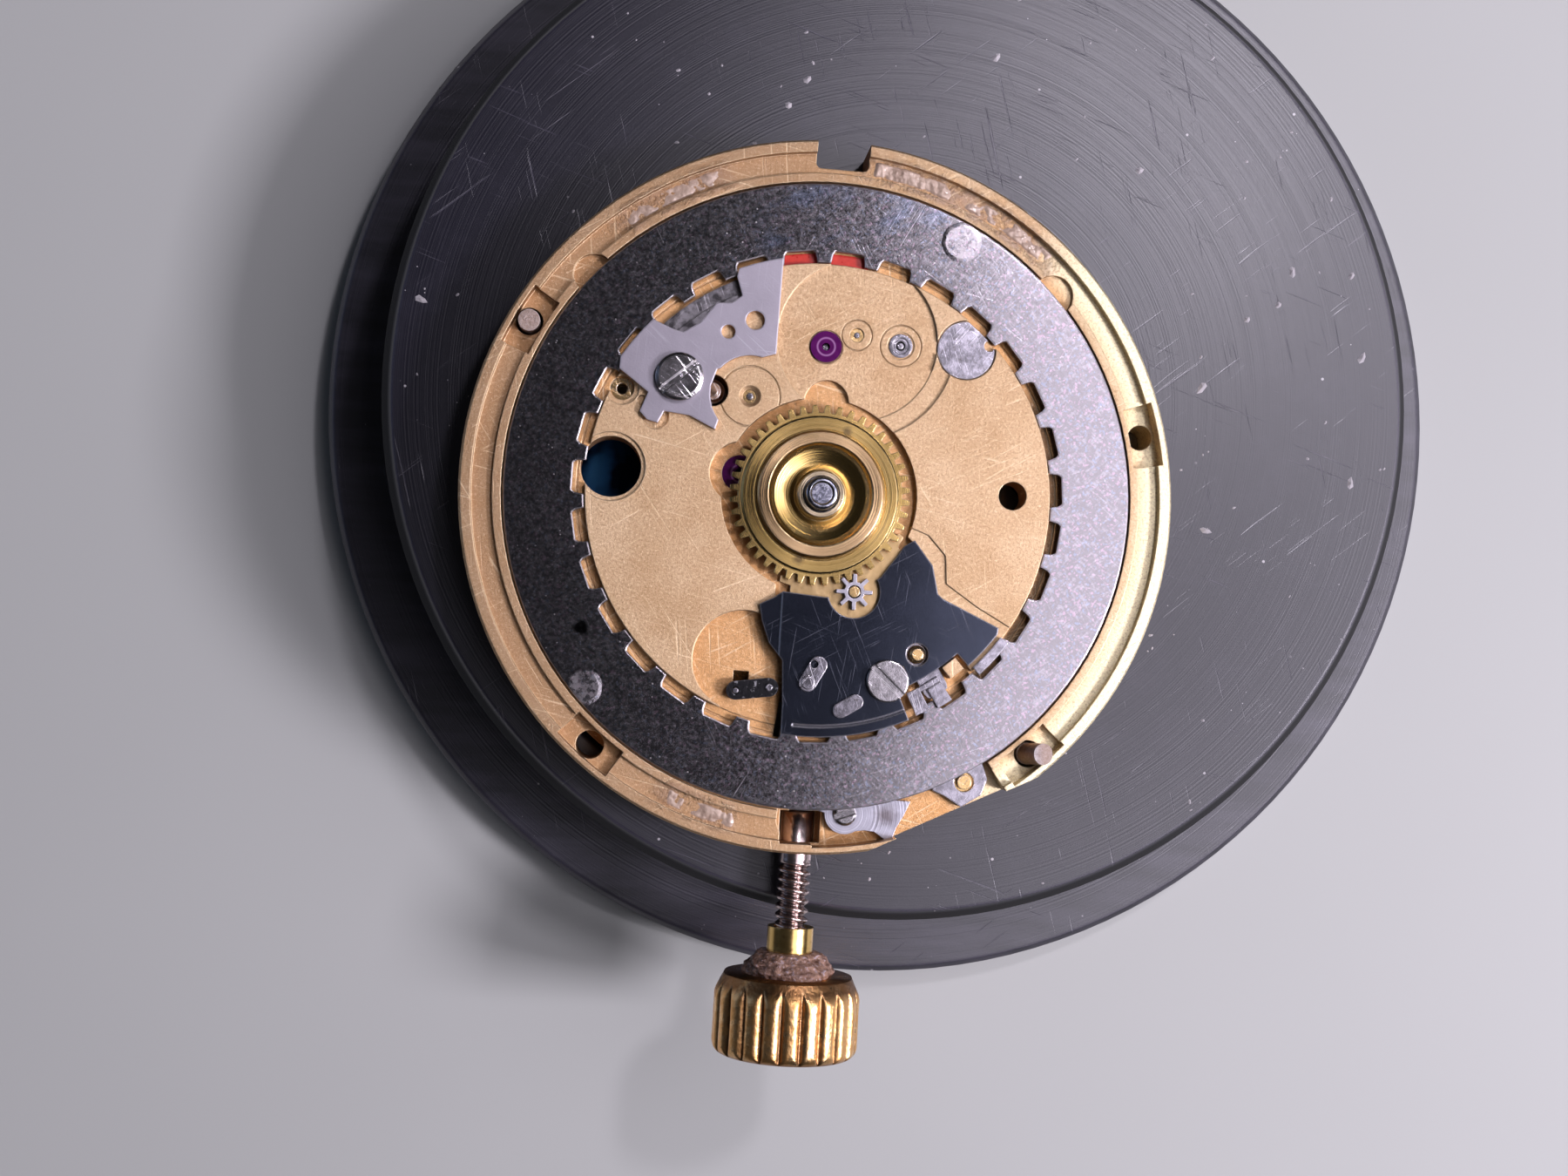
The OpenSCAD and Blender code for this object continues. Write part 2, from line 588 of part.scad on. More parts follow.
module stem_collar() color([0.85, 0.62, 0.2]) at_movement() on_stem(-15.8)
    washer(0.85, 0.62, 0, 0.92);

module crown_gasket() color([0.4, 0.28, 0.2]) at_movement() on_stem(-16.72) difference() {
    rotate_extrude() polygon([[0, 0], [1.2, 0], [1.45, 0.18], [1.69, 0.55], [1.6, 0.83], [0, 0.83]]);
    translate([0, 0, -1]) cylinder(h = 4, r = 0.62);
}

module crown() color([0.85, 0.6, 0.2]) at_movement() on_stem(-crown_start) difference() {
    rotate_extrude() polygon([[0, 0], [crown_r - 0.3, 0], [crown_r, 0.22], [crown_r, crown_len - 0.4],
        [crown_r - 0.3, crown_len - 0.12], [1.2, crown_len], [0, crown_len]]);
    translate([0, 0, -eps]) cylinder(h = 1.1, r = 0.62);
    for (i = [0 : crown_flutes - 1]) rotate(i * 360 / crown_flutes)
        translate([crown_r + 0.12, 0, -1]) cylinder(h = crown_len + 2, r = 0.27);
}

// Clutch that slides on the stem's square, and the pinion it drives
module clutch_wheel() color([0.65, 0.65, 0.68]) at_movement() on_stem(-8.6) difference() {
    union() {
        cylinder(h = 1.1, r = 0.62);
        for (z = [0, 0.8]) translate([0, 0, z]) linear_extrude(0.3)
            polygon(gear_points(12, 0.85, 0.66, 0.3, 0.6));
    }
    translate([0, 0, -1]) cylinder(h = 4, r = 0.40);
}

module winding_pinion() color([0.65, 0.65, 0.68]) at_movement() on_stem(-9.75) difference() {
    linear_extrude(1.1) polygon(gear_points(12, 0.85, 0.62, 0.3, 0.6));
    translate([0, 0, -1]) cylinder(h = 4, r = 0.42);
}

// ---------- Going train, escapement and automatic work ----------

module seconds_wheel() color([0.8, 0.68, 0.4]) at_movement() {
    translate([0, 0, -3.3]) cylinder(h = 4.24, r = 0.20);
    translate([0, 0, 0.90]) cylinder(h = 0.12, r = 0.38);
    translate([0, 0, -2.55]) linear_extrude(0.14) difference() {
        polygon(gear_points(80, 4.9, 4.7, 0.35, 0.6));
        for (i = [0 : 4]) rotate(i * 72) translate([2.6, 0]) circle(1.25);
    }
    translate([0, 0, -3.1]) linear_extrude(0.5) polygon(gear_points(10, 0.45, 0.3, 0.3, 0.55));
}

module escape_wheel() color([0.7, 0.7, 0.74]) at_movement() at(escape_xy) {
    translate([0, 0, -3.3]) cylinder(h = 2.95, r = 0.11);
    translate([0, 0, -2.1]) linear_extrude(0.14) difference() {
        polygon(gear_points(20, 2.0, 1.6, 0.15, 0.5));
        for (i = [0 : 3]) rotate(i * 90) translate([0.9, 0]) circle(0.42);
    }
    translate([0, 0, -2.75]) linear_extrude(0.5) polygon(gear_points(8, 0.5, 0.3, 0.3, 0.55));
}

module pallet_fork() color([0.7, 0.7, 0.74]) at_movement() at(pallet_xy) {
    translate([0, 0, -2.3]) cylinder(h = 2.0, r = 0.12);
    translate([0, 0, -2.12]) linear_extrude(0.2) difference() {
        union() {
            circle(0.3);
            for (a = [125, -125]) pill([0, 0], polar(0.8, a), 0.12);
            pill([0, 0], [1.6, 0], 0.13);
            translate([1.75, 0]) circle(0.26);
        }
        translate([1.72, -0.09]) square([1, 0.18]);
    }
}

module balance_wheel() color([0.8, 0.7, 0.45]) at_movement() at(balance_xy) {
    translate([0, 0, -3.45]) cylinder(h = 3.0, r = 0.12);
    translate([0, 0, -2.45]) cylinder(h = 0.12, r = 0.42);
    translate([0, 0, -3.05]) linear_extrude(0.3) {
        difference() {
            circle(3.35);
            circle(2.95);
        }
        translate([-3.1, -0.2]) square([6.2, 0.4]);
        circle(0.5);
    }
}

module balance_cock() color([0.72, 0.7, 0.66]) at_movement() {
    at(cock_foot_xy, bridge_z) cylinder(h = under_z - bridge_z, r = 1.0);
    d = balance_xy - cock_foot_xy;
    translate([0, 0, bridge_z - bridge_t]) linear_extrude(bridge_t) difference() {
        union() {
            translate(cock_foot_xy) rotate(atan2(d[1], d[0])) translate([0, -0.9])
                square([norm(d), 1.8]);
            translate(cock_foot_xy) circle(1.0);
            translate(balance_xy) circle(1.3);
        }
        translate(balance_xy) circle(0.16);
    }
}

module mainspring_barrel() color([0.78, 0.66, 0.4]) at_movement() at(barrel_xy) difference() {
    union() {
        translate([0, 0, -3.4]) linear_extrude(0.2) polygon(gear_points(72, 3.8, 3.6, 0.35, 0.6));
        translate([0, 0, -3.21]) cylinder(h = 0.51, r = 3.5);
    }
    translate([0, 0, -4]) cylinder(h = 2, r = 0.44);
}

module barrel_arbor() color("silver") at_movement() at(barrel_xy, bridge_z)
    cylinder(h = under_z - bridge_z, r = 0.4);

// Bridge under the barrel and the train, cut away round the balance
module train_bridge() color([0.75, 0.73, 0.7]) at_movement() difference() {
    union() {
        translate([0, 0, bridge_z - bridge_t]) linear_extrude(bridge_t) difference() {
            circle(11.2);
            translate(balance_xy) circle(3.7);
            pill(cock_foot_xy, balance_xy, 1.15);
        }
        for (f = bridge_feet)
            at(polar(f[1], f[0]), bridge_z) cylinder(h = under_z - bridge_z, r = 0.8);
    }
    for (f = bridge_feet) at(polar(f[1], f[0]), bridge_z - 1) cylinder(h = 2.6, r = 0.32);
}

module bridge_screws() color([0.7, 0.7, 0.74]) at_movement() mirror([0, 0, 1])
    for (f = bridge_feet) at(polar(f[1], f[0])) slotted_screw(0.6, 4.1, 4.3, f[0], 0.3, 2.0);

// Oscillating weight and its bearing
module rotor() color([0.7, 0.7, 0.72]) at_movement() {
    translate([0, 0, -4.65]) linear_extrude(0.25) difference() {
        union() {
            intersection() {
                circle(11.4);
                translate([-12, -12]) square([24, 12]);
            }
            circle(1.9);
        }
        circle(0.95);
        for (a = [-60, -120]) translate(polar(5, a)) circle(1.7);
    }
    translate([0, 0, -5.15]) linear_extrude(0.55) ring_sector(8.8, 11.4, -178, -2);
}

module rotor_bearing() color([0.75, 0.75, 0.78]) at_movement() {
    translate([0, 0, -4.7]) cylinder(h = 0.6, r = 0.9);
    translate([0, 0, -4.8]) cylinder(h = 0.1, r = 1.2);
}

holder_body();
main_plate();
date_ring();
date_retaining_plate();
retaining_plate_screw();
jumper_plate();
jumper_plate_screw();
jumper_plate_post();
jumper_bolt();
jumper_plate_rim();
date_jumper();
corrector_lever();
corrector_post();
balance_end_piece();
pivot_jewels();
brass_bushes();
bush_ring();
pivot_ends();
plate_stud();
date_ring_guard();
banking_block();
corrector_pin();
red_strip();
dial_foot_stubs();
hour_wheel();
centre_tube();
cannon_pinion();
minute_wheel();
minute_wheel_post();
setting_lever();
setting_lever_screw();
lever_bracket();
bracket_pin();
stem();
stem_collar();
crown_gasket();
crown();
clutch_wheel();
winding_pinion();
seconds_wheel();
escape_wheel();
pallet_fork();
balance_wheel();
balance_cock();
mainspring_barrel();
barrel_arbor();
train_bridge();
bridge_screws();
rotor();
rotor_bearing();
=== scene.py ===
import json
import math
import random

import bmesh
import bpy
from mathutils import Matrix, Vector, noise


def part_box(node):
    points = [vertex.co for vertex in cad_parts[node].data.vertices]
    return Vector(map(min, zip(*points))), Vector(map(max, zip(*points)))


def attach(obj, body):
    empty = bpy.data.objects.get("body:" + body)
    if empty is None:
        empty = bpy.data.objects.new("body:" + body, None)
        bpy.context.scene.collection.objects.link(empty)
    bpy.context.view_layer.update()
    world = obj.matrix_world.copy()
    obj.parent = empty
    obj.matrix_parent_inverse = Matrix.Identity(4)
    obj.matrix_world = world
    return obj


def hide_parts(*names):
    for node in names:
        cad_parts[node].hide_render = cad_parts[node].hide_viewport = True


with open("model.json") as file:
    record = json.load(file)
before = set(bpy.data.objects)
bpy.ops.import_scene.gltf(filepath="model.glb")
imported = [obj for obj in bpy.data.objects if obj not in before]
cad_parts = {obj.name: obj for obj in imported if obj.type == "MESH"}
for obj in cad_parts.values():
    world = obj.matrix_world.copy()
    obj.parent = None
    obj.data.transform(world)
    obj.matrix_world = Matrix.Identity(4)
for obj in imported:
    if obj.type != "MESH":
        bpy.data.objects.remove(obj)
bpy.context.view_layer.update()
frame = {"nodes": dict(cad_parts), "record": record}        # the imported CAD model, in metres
MM = 0.001
NODES = frame["nodes"]
scene = bpy.context.scene
rng = random.Random(7)


def centre_of(node):
    """Middle of a node's box, in millimetres."""
    lo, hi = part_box(node)
    return (Vector(lo) + Vector(hi)) / 2 / MM


def top_of(node):
    """Height of a node's highest point, in millimetres."""
    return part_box(node)[1][2] / MM


# The movement's centre on its face, and the holder's main heights, all in millimetres
MOVE = Vector((centre_of("date_ring").x, centre_of("date_ring").y, top_of("main_plate")))
HOLDER_TOP = top_of("holder_body")
STEM_Z = centre_of("crown").z
LAVENDER = (1.0, 0.94, 1.07)


# ---------------------------------------------------------------- camera and light

def add_camera():
    """Camera straight above, a little to the lower left, rolled so that the stem leans as in the photo."""
    data = bpy.data.cameras.new("camera")
    data.sensor_width = 36
    data.lens = 44
    data.clip_start = 0.001
    cam = bpy.data.objects.new("camera", data)
    scene.collection.objects.link(cam)
    spin = Matrix.Rotation(math.radians(3.5), 4, "Z")
    tilt = Matrix.Rotation(0.029, 4, "X") @ Matrix.Rotation(-0.074, 4, "Y")
    place = Vector((MOVE.x - 6.09, MOVE.y - 5.75, MOVE.z + 69.11)) * MM
    cam.matrix_world = Matrix.Translation(place) @ spin @ tilt
    scene.camera = cam


def add_softbox(name, place, size, watts, target, colour):
    """Rectangular soft light; places and sizes in millimetres."""
    data = bpy.data.lights.new(name, "AREA")
    data.shape = "RECTANGLE"
    data.size, data.size_y = size[0] * MM, size[1] * MM
    data.energy = watts
    data.color = colour
    lamp = bpy.data.objects.new(name, data)
    scene.collection.objects.link(lamp)
    lamp.location = Vector(place) * MM
    aim = Vector(target) * MM - lamp.location
    lamp.rotation_euler = aim.to_track_quat("-Z", "Y").to_euler()


def add_stage():
    """Pale floor, a broad panel over the right side, a stronger small key and dim surroundings."""
    bpy.ops.mesh.primitive_plane_add(size=3, location=(0, 0, 0))
    floor = bpy.context.object
    floor.name = "floor"
    floor.data.materials.append(floor_material())
    scene.view_settings.view_transform = "Standard"
    add_softbox("panel", (130, -8, 165), (150, 210), 0.215, (85, -5, 5), LAVENDER)
    add_softbox("key", (150, -42, 152), (42, 42), 0.40, MOVE, LAVENDER)
    add_softbox("strip", (46, 62, 150), (14, 14), 0.06, MOVE, LAVENDER)
    add_softbox("sky_fill", (-190, 30, 60), (90, 120), 0.02, MOVE, (0.45, 0.62, 1.0))
    world = bpy.data.worlds.new("studio")
    scene.world = world
    world.use_nodes = True
    back = world.node_tree.nodes["Background"]
    back.inputs[0].default_value = (0.50, 0.50, 0.56, 1)
    back.inputs[1].default_value = 0.055


# ---------------------------------------------------------------- material building blocks

class Shader:
    """Short names for the nodes of one material. Lengths in its textures are millimetres."""

    def __init__(self, name, **values):
        self.material = bpy.data.materials.new(name)
        self.material.use_nodes = True
        self.tree = self.material.node_tree
        self.bsdf = self.tree.nodes["Principled BSDF"]
        for key, value in values.items():
            self.bsdf.inputs[key.replace("_", " ")].default_value = value
        coords = self.add("ShaderNodeTexCoord")
        self.mm = self.vector("SCALE", coords.outputs["Object"], scale=1 / MM)
        self.round = None

    def add(self, kind, **props):
        item = self.tree.nodes.new(kind)
        for key, value in props.items():
            setattr(item, key, value)
        return item

    def feed(self, socket, value):
        if isinstance(value, bpy.types.NodeSocket):
            self.tree.links.new(value, socket)
        elif value is not None:
            socket.default_value = value

    def vector(self, operation, a, b=None, scale=None):
        item = self.add("ShaderNodeVectorMath", operation=operation)
        self.feed(item.inputs[0], a)
        if b is not None:
            self.feed(item.inputs[1], b)
        if scale is not None:
            item.inputs["Scale"].default_value = scale
        return item.outputs["Value"] if operation in ("LENGTH", "DISTANCE") else item.outputs[0]

    def maths(self, operation, a, b):
        item = self.add("ShaderNodeMath", operation=operation)
        self.feed(item.inputs[0], a)
        self.feed(item.inputs[1], b)
        return item.outputs[0]

    def times(self, a, b):
        return self.maths("MULTIPLY", a, b)

    def either(self, a, b):
        """The larger of two masks."""
        return self.maths("MAXIMUM", a, b)

    def noise(self, scale, detail=4, stretch=(1, 1, 1), turn=0, rough=0.55):
        """Noise with scale cells per millimetre, optionally stretched along one direction."""
        source = self.mm
        if stretch != (1, 1, 1) or turn:
            mapping = self.add("ShaderNodeMapping")
            self.feed(mapping.inputs["Vector"], self.mm)
            mapping.inputs["Scale"].default_value = stretch
            if turn:
                turned = self.add("ShaderNodeVectorRotate", rotation_type="Z_AXIS")
                self.feed(turned.inputs["Vector"], self.mm)
                turned.inputs["Angle"].default_value = math.radians(turn)
                self.feed(mapping.inputs["Vector"], turned.outputs[0])
            source = mapping.outputs[0]
        item = self.add("ShaderNodeTexNoise")
        self.feed(item.inputs["Vector"], source)
        item.inputs["Scale"].default_value = scale
        item.inputs["Detail"].default_value = detail
        item.inputs["Roughness"].default_value = rough
        return item.outputs["Fac"]

    def spots(self, scale, size):
        """1 inside small round spots, scale cells per millimetre, each size cells wide."""
        item = self.add("ShaderNodeTexVoronoi")
        self.feed(item.inputs["Vector"], self.mm)
        item.inputs["Scale"].default_value = scale
        return self.ramp(item.outputs["Distance"], size, size * 0.7)

    def ramp(self, value, low, high):
        """0 below low rising to 1 above high; swap them to fall instead."""
        item = self.add("ShaderNodeMapRange", clamp=True)
        self.feed(item.inputs["Value"], value)
        item.inputs["From Min"].default_value = low
        item.inputs["From Max"].default_value = high
        return item.outputs[0]

    def mix(self, share, a, b):
        """Colour a where share is 0 and b where it is 1."""
        item = self.add("ShaderNodeMix", data_type="RGBA")
        self.feed(item.inputs[0], share)
        self.feed(item.inputs[6], (*a, 1) if isinstance(a, tuple) else a)
        self.feed(item.inputs[7], (*b, 1) if isinstance(b, tuple) else b)
        return item.outputs[2]

    def over(self, base, mask, amount, colour):
        """Lays colour over base where mask is 1, covering it by amount."""
        return self.mix(self.times(mask, amount), base, colour)

    def blend(self, share, a, b):
        """Number between a and b."""
        item = self.add("ShaderNodeMix", data_type="FLOAT")
        self.feed(item.inputs[0], share)
        self.feed(item.inputs[2], a)
        self.feed(item.inputs[3], b)
        return item.outputs[0]

    def radius(self, centre, flat=(1, 1, 0)):
        """Distance from an axis through centre; flat is 0 along the axis."""
        away = self.vector("SUBTRACT", self.mm, tuple(centre))
        return self.vector("LENGTH", self.vector("MULTIPLY", away, flat))

    def rings(self, centre, per_mm, detail=3):
        """Fine concentric turning marks round an upright axis."""
        item = self.add("ShaderNodeTexNoise", noise_dimensions="1D")
        self.feed(item.inputs["W"], self.radius(centre))
        item.inputs["Scale"].default_value = per_mm
        item.inputs["Detail"].default_value = detail
        return item.outputs["Fac"]

    def height(self):
        """Height above the bench in millimetres."""
        item = self.add("ShaderNodeSeparateXYZ")
        self.feed(item.inputs[0], self.mm)
        return item.outputs["Z"]

    def scratches(self, turns, density=0.06, length=0.35, width=14):
        """Thin straight scratches in several directions, 1 on the scratch."""
        total = None
        for turn in turns:
            lines = self.noise(1.0, 2, (length, width, 1), turn)
            patch = self.ramp(self.noise(0.35, 2, (1, 1, 1), turn + 13), 0.5, 0.56)
            thin = self.ramp(lines, 0.70 - density, 0.72)
            thin = self.times(thin, patch)
            total = thin if total is None else self.either(total, thin)
        return total

    def edges(self, width, low=0.02, high=0.14):
        """Rounds the shading of sharp edges over width millimetres; 1 along the edge itself, where the
        materials paint edge wear and a painted edge highlight.
        """
        soft = self.add("ShaderNodeBevel", samples=4)
        soft.inputs["Radius"].default_value = width * MM
        self.round = soft.outputs[0]
        flat = self.add("ShaderNodeNewGeometry").outputs["Normal"]
        lean = self.add("ShaderNodeVectorMath", operation="DOT_PRODUCT")
        self.feed(lean.inputs[0], self.round)
        self.feed(lean.inputs[1], flat)
        return self.ramp(lean.outputs["Value"], 1 - low, 1 - high)

    def sector(self, low, high, fade=3):
        """1 between two angles round the movement's centre, in degrees, fading over the ends."""
        away = self.vector("SUBTRACT", self.mm, tuple(MOVE))
        parts = self.add("ShaderNodeSeparateXYZ")
        self.feed(parts.inputs[0], away)
        middle = math.radians((low + high) / 2)
        along = self.maths("ADD", self.times(parts.outputs["X"], math.cos(middle)),
                           self.times(parts.outputs["Y"], math.sin(middle)))
        share = self.maths("DIVIDE", along, self.radius(MOVE))
        half = math.radians((high - low) / 2)
        return self.ramp(share, math.cos(half + math.radians(fade)), math.cos(half))

    def band(self, value, low, high, fade):
        """1 where value lies between low and high."""
        return self.times(self.ramp(value, low - fade, low + fade),
                          self.ramp(value, high + fade, high - fade))

    def near(self, point, size, fade=0.25, ragged=1.1):
        """1 inside a ragged round spot of size millimetres about a point."""
        wobble = self.times(self.maths("SUBTRACT", self.noise(2.6, 4), 0.5), size * ragged)
        return self.ramp(self.maths("ADD", self.radius(point), wobble), size, size * (1 - fade))

    def bump(self, value, depth, strength=1.0, chain=None):
        """Bump of depth millimetres, on top of another bump if chain is given."""
        item = self.add("ShaderNodeBump")
        self.feed(item.inputs["Height"], value)
        item.inputs["Strength"].default_value = strength
        item.inputs["Distance"].default_value = depth * MM
        chain = self.round if chain is None else chain
        if chain is not None:
            self.feed(item.inputs["Normal"], chain)
        return item.outputs[0]

    def set(self, **links):
        for key, value in links.items():
            self.feed(self.bsdf.inputs[key.replace("_", " ")], value)
        return self.material


def brushed_round(shader, axis, amount):
    """Highlights drawn out across turning marks, round the piece's own axis."""
    tangent = shader.add("ShaderNodeTangent", direction_type="RADIAL", axis=axis)
    shader.bsdf.inputs["Anisotropic"].default_value = amount
    shader.feed(shader.bsdf.inputs["Tangent"], tangent.outputs[0])


# ---------------------------------------------------------------- materials

def floor_material():
    s = Shader("floor_pale", Roughness=0.7)
    tone = s.noise(0.02, 3)
    return s.set(Base_Color=s.mix(tone, (0.40, 0.41, 0.39), (0.47, 0.48, 0.46)))


def holder_material():
    """Black plastic turned on a lathe, with scuffs, dust, a rim with edge wear and a painted edge
    highlight, painted shade in the band under the top disc's edge and painted sheen streaks on the flange.
    """
    s = Shader("holder_black_turned", Metallic=0.0, IOR=1.72)
    axis = (0, 0, 0)
    edge_wear_and_highlight = s.edges(0.20, 0.03, 0.2)
    marks = s.rings(axis, 14, detail=2)
    broad = s.noise(0.10, 3)
    patchy = s.noise(0.6, 5, rough=0.7)
    scuff = s.scratches((18, 74, 140), 0.03, 0.2, 9)
    dust = s.times(s.spots(0.8, 0.05), s.ramp(s.noise(0.3, 1), 0.5, 0.55))
    lint = s.times(s.spots(2.3, 0.06), s.ramp(s.noise(0.5, 2), 0.55, 0.6))
    base = s.mix(broad, (0.004, 0.004, 0.009), (0.010, 0.009, 0.018))
    base = s.over(base, s.ramp(patchy, 0.5, 0.8), 0.35, (0.030, 0.028, 0.042))
    base = s.over(base, scuff, 0.25, (0.16, 0.15, 0.19))
    # Edge wear: pale colour along the rim, which is also a painted edge highlight.
    base = s.over(base, edge_wear_and_highlight, 0.5, (0.22, 0.20, 0.27))
    base = s.mix(s.either(dust, lint), base, (0.42, 0.40, 0.42))
    out = s.radius(axis)
    # Painted shade: the band round the top disc's edge, down to the flange, is painted near-black and made
    # rough, standing in for the shadow in the gap there.
    edge_band_painted_shade = s.band(out, 19.32, 19.95, 0.06)
    flange = s.ramp(out, 20.0, 20.1)
    base = s.mix(edge_band_painted_shade, base, (0.001, 0.001, 0.002))
    # Painted sheen: pale lavender streaks painted over the flange.
    sheen_and_smear = s.ramp(s.noise(0.5, 4, (0.3, 2, 1)), 0.4, 0.7)
    base = s.mix(s.times(flange, sheen_and_smear), base, (0.035, 0.032, 0.048))
    rough = s.blend(broad, 0.27, 0.34)
    rough = s.blend(edge_band_painted_shade, rough, 0.85)
    rough = s.maths("ADD", rough, s.times(marks, 0.12))
    brushed_round(s, "Z", 0.4)
    face = s.bump(marks, 0.007, 0.7)
    face = s.bump(s.noise(14, 3), 0.004, 0.5, face)
    face = s.bump(scuff, -0.01, 0.5, face)
    return s.set(Base_Color=base, Roughness=rough, Normal=face)


def gilt_material():
    """Grained gilt of the main plate: painted shade in orange in its recesses and in darker brown on the
    left of the channel wall, painted shadow between the date ring's teeth on the right, painted glare on
    the right of the channel, stained in the channel, paler on edges with edge wear and a painted edge
    highlight.
    """
    s = Shader("gilt_grained", Metallic=0.9)
    edge_wear_and_highlight = s.edges(0.06)
    grain = s.noise(10, 6, rough=0.8)
    cloud = s.noise(0.45, 4)
    mottle = s.noise(3.2, 5, rough=0.7)
    scratch = s.scratches((-32, -24, 55, 12, 84), 0.07, 0.16, 9)
    out = s.radius(MOVE)
    base = s.mix(s.ramp(cloud, 0.35, 0.65), (0.50, 0.335, 0.185), (0.60, 0.43, 0.26))
    base = s.over(base, s.ramp(mottle, 0.52, 0.72), 0.4, (0.42, 0.26, 0.13))
    # Painted shade: orange darkening laid by depth below the plate's face, in its recesses.
    depth = s.ramp(s.height(), MOVE.z - 0.20, MOVE.z - 0.46)
    base = s.over(base, depth, 0.6, (0.60, 0.28, 0.075))
    stain = s.either(s.sector(48, 84), s.either(s.sector(110, 129), s.sector(-114, -103)))
    stain = s.times(stain, s.band(out, 11.6, 12.62, 0.08))
    stain = s.times(stain, s.ramp(s.noise(1.5, 6, rough=0.7), 0.42, 0.56))
    base = s.over(base, stain, 0.75, (0.34, 0.24, 0.19))
    wall = s.times(s.ramp(out, 11.45, 11.52), s.ramp(s.noise(2.4, 4), 0.45, 0.7))
    base = s.over(base, wall, 0.35, (0.50, 0.26, 0.09))
    shade = s.times(s.sector(100, 255, 30), s.ramp(out, 11.40, 11.50))
    base = s.over(base, shade, 0.6, (0.33, 0.20, 0.11))
    # Painted shadow: near-black laid between the date ring's teeth on the right, where the ring's inner
    # edge shades the plate.
    tooth_gap_painted_shadow = s.times(s.sector(-48, 26, 8), s.band(out, 8.55, 9.2, 0.03))
    base = s.over(base, tooth_gap_painted_shadow, 0.85, (0.03, 0.022, 0.016))
    glare = s.times(s.sector(-52, 42, 12), s.ramp(out, 11.5, 12.3))
    base = s.over(base, glare, 0.8, (1.0, 0.94, 0.64))
    base = s.over(base, s.ramp(grain, 0.52, 0.34), 0.8, (0.33, 0.20, 0.10))
    base = s.over(base, s.ramp(grain, 0.56, 0.70), 0.7, (0.95, 0.78, 0.54))
    base = s.over(base, scratch, 0.45, (0.95, 0.76, 0.50))
    # Edge wear: pale colour along the edges, which is also a painted edge highlight.
    base = s.over(base, edge_wear_and_highlight, 0.7, (1.0, 0.84, 0.56))
    rough = s.blend(grain, 0.38, 0.58)
    rough = s.blend(edge_wear_and_highlight, rough, 0.34)
    face = s.bump(grain, 0.030, 0.75)
    face = s.bump(scratch, -0.008, 0.5, face)
    face = s.bump(stain, 0.03, 0.8, face)
    return s.set(Base_Color=base, Roughness=rough, Normal=face)


def ring_material():
    """Dark steel of the date ring: speckled, scratched and smeared, with two round marks and edge wear
    carrying a painted edge highlight.
    """
    s = Shader("date_ring_steel", Metallic=1.0)
    edge_wear_and_highlight = s.edges(0.10, 0.015, 0.10)
    grain = s.noise(7, 5, rough=0.8)
    weave = s.times(s.noise(11, 3, (1, 0.3, 1), 45), s.noise(11, 3, (1, 0.3, 1), -45))
    tint = s.noise(9, 2, rough=0.4)
    mark = None
    for angle, distance, size in ((64, 10.72, 0.74), (-137.5, 10.98, 0.68)):
        spot = polar(distance, angle)
        here = s.near((spot.x, spot.y, 0), size, 0.2, 0.15)
        mark = here if mark is None else s.either(mark, here)
    sheen_and_smear = s.times(s.sector(70, 104, 4), s.ramp(s.noise(0.8, 5, (1, 0.35, 1), 60), 0.50, 0.62))
    pit = s.near((MOVE.x - 8.3, MOVE.y - 5.3, 0), 0.30, 0.4)
    dust = s.times(s.spots(3.2, 0.10), s.ramp(s.noise(0.7, 3), 0.42, 0.6))
    scratch = s.scratches((10, 35, 62, 118, 160), 0.07, 0.28, 12)
    base = s.mix(grain, (0.19, 0.18, 0.19), (0.38, 0.36, 0.375))
    base = s.over(base, s.ramp(weave, 0.25, 0.36), 0.45, (0.50, 0.47, 0.52))
    base = s.over(base, s.ramp(tint, 0.60, 0.68), 0.45, (0.62, 0.44, 0.56))
    base = s.over(base, s.ramp(tint, 0.40, 0.32), 0.35, (0.36, 0.44, 0.62))
    base = s.over(base, sheen_and_smear, 0.4, (0.30, 0.38, 0.56))
    blotch = s.times(mark, s.ramp(s.noise(4, 5, rough=0.7), 0.38, 0.60))
    base = s.over(base, blotch, 0.45, (0.46, 0.42, 0.43))
    base = s.over(base, scratch, 0.2, (0.72, 0.70, 0.74))
    base = s.mix(pit, base, (0.03, 0.028, 0.03))
    base = s.over(base, dust, 0.8, (0.62, 0.58, 0.58))
    # Edge wear: pinkish-white along the edges, which is also a painted edge highlight.
    base = s.over(base, edge_wear_and_highlight, 0.85, (0.98, 0.90, 0.90))
    rough = s.blend(s.ramp(grain, 0.35, 0.65), 0.11, 0.24)
    rough = s.blend(s.either(s.either(blotch, dust), edge_wear_and_highlight), rough, 0.36)
    face = s.bump(grain, 0.004, 0.5)
    face = s.bump(weave, 0.006, 0.5, face)
    face = s.bump(mark, 0.03, 0.6, face)
    face = s.bump(scratch, -0.002, 0.4, face)
    return s.set(Base_Color=base, Roughness=rough, Normal=face)


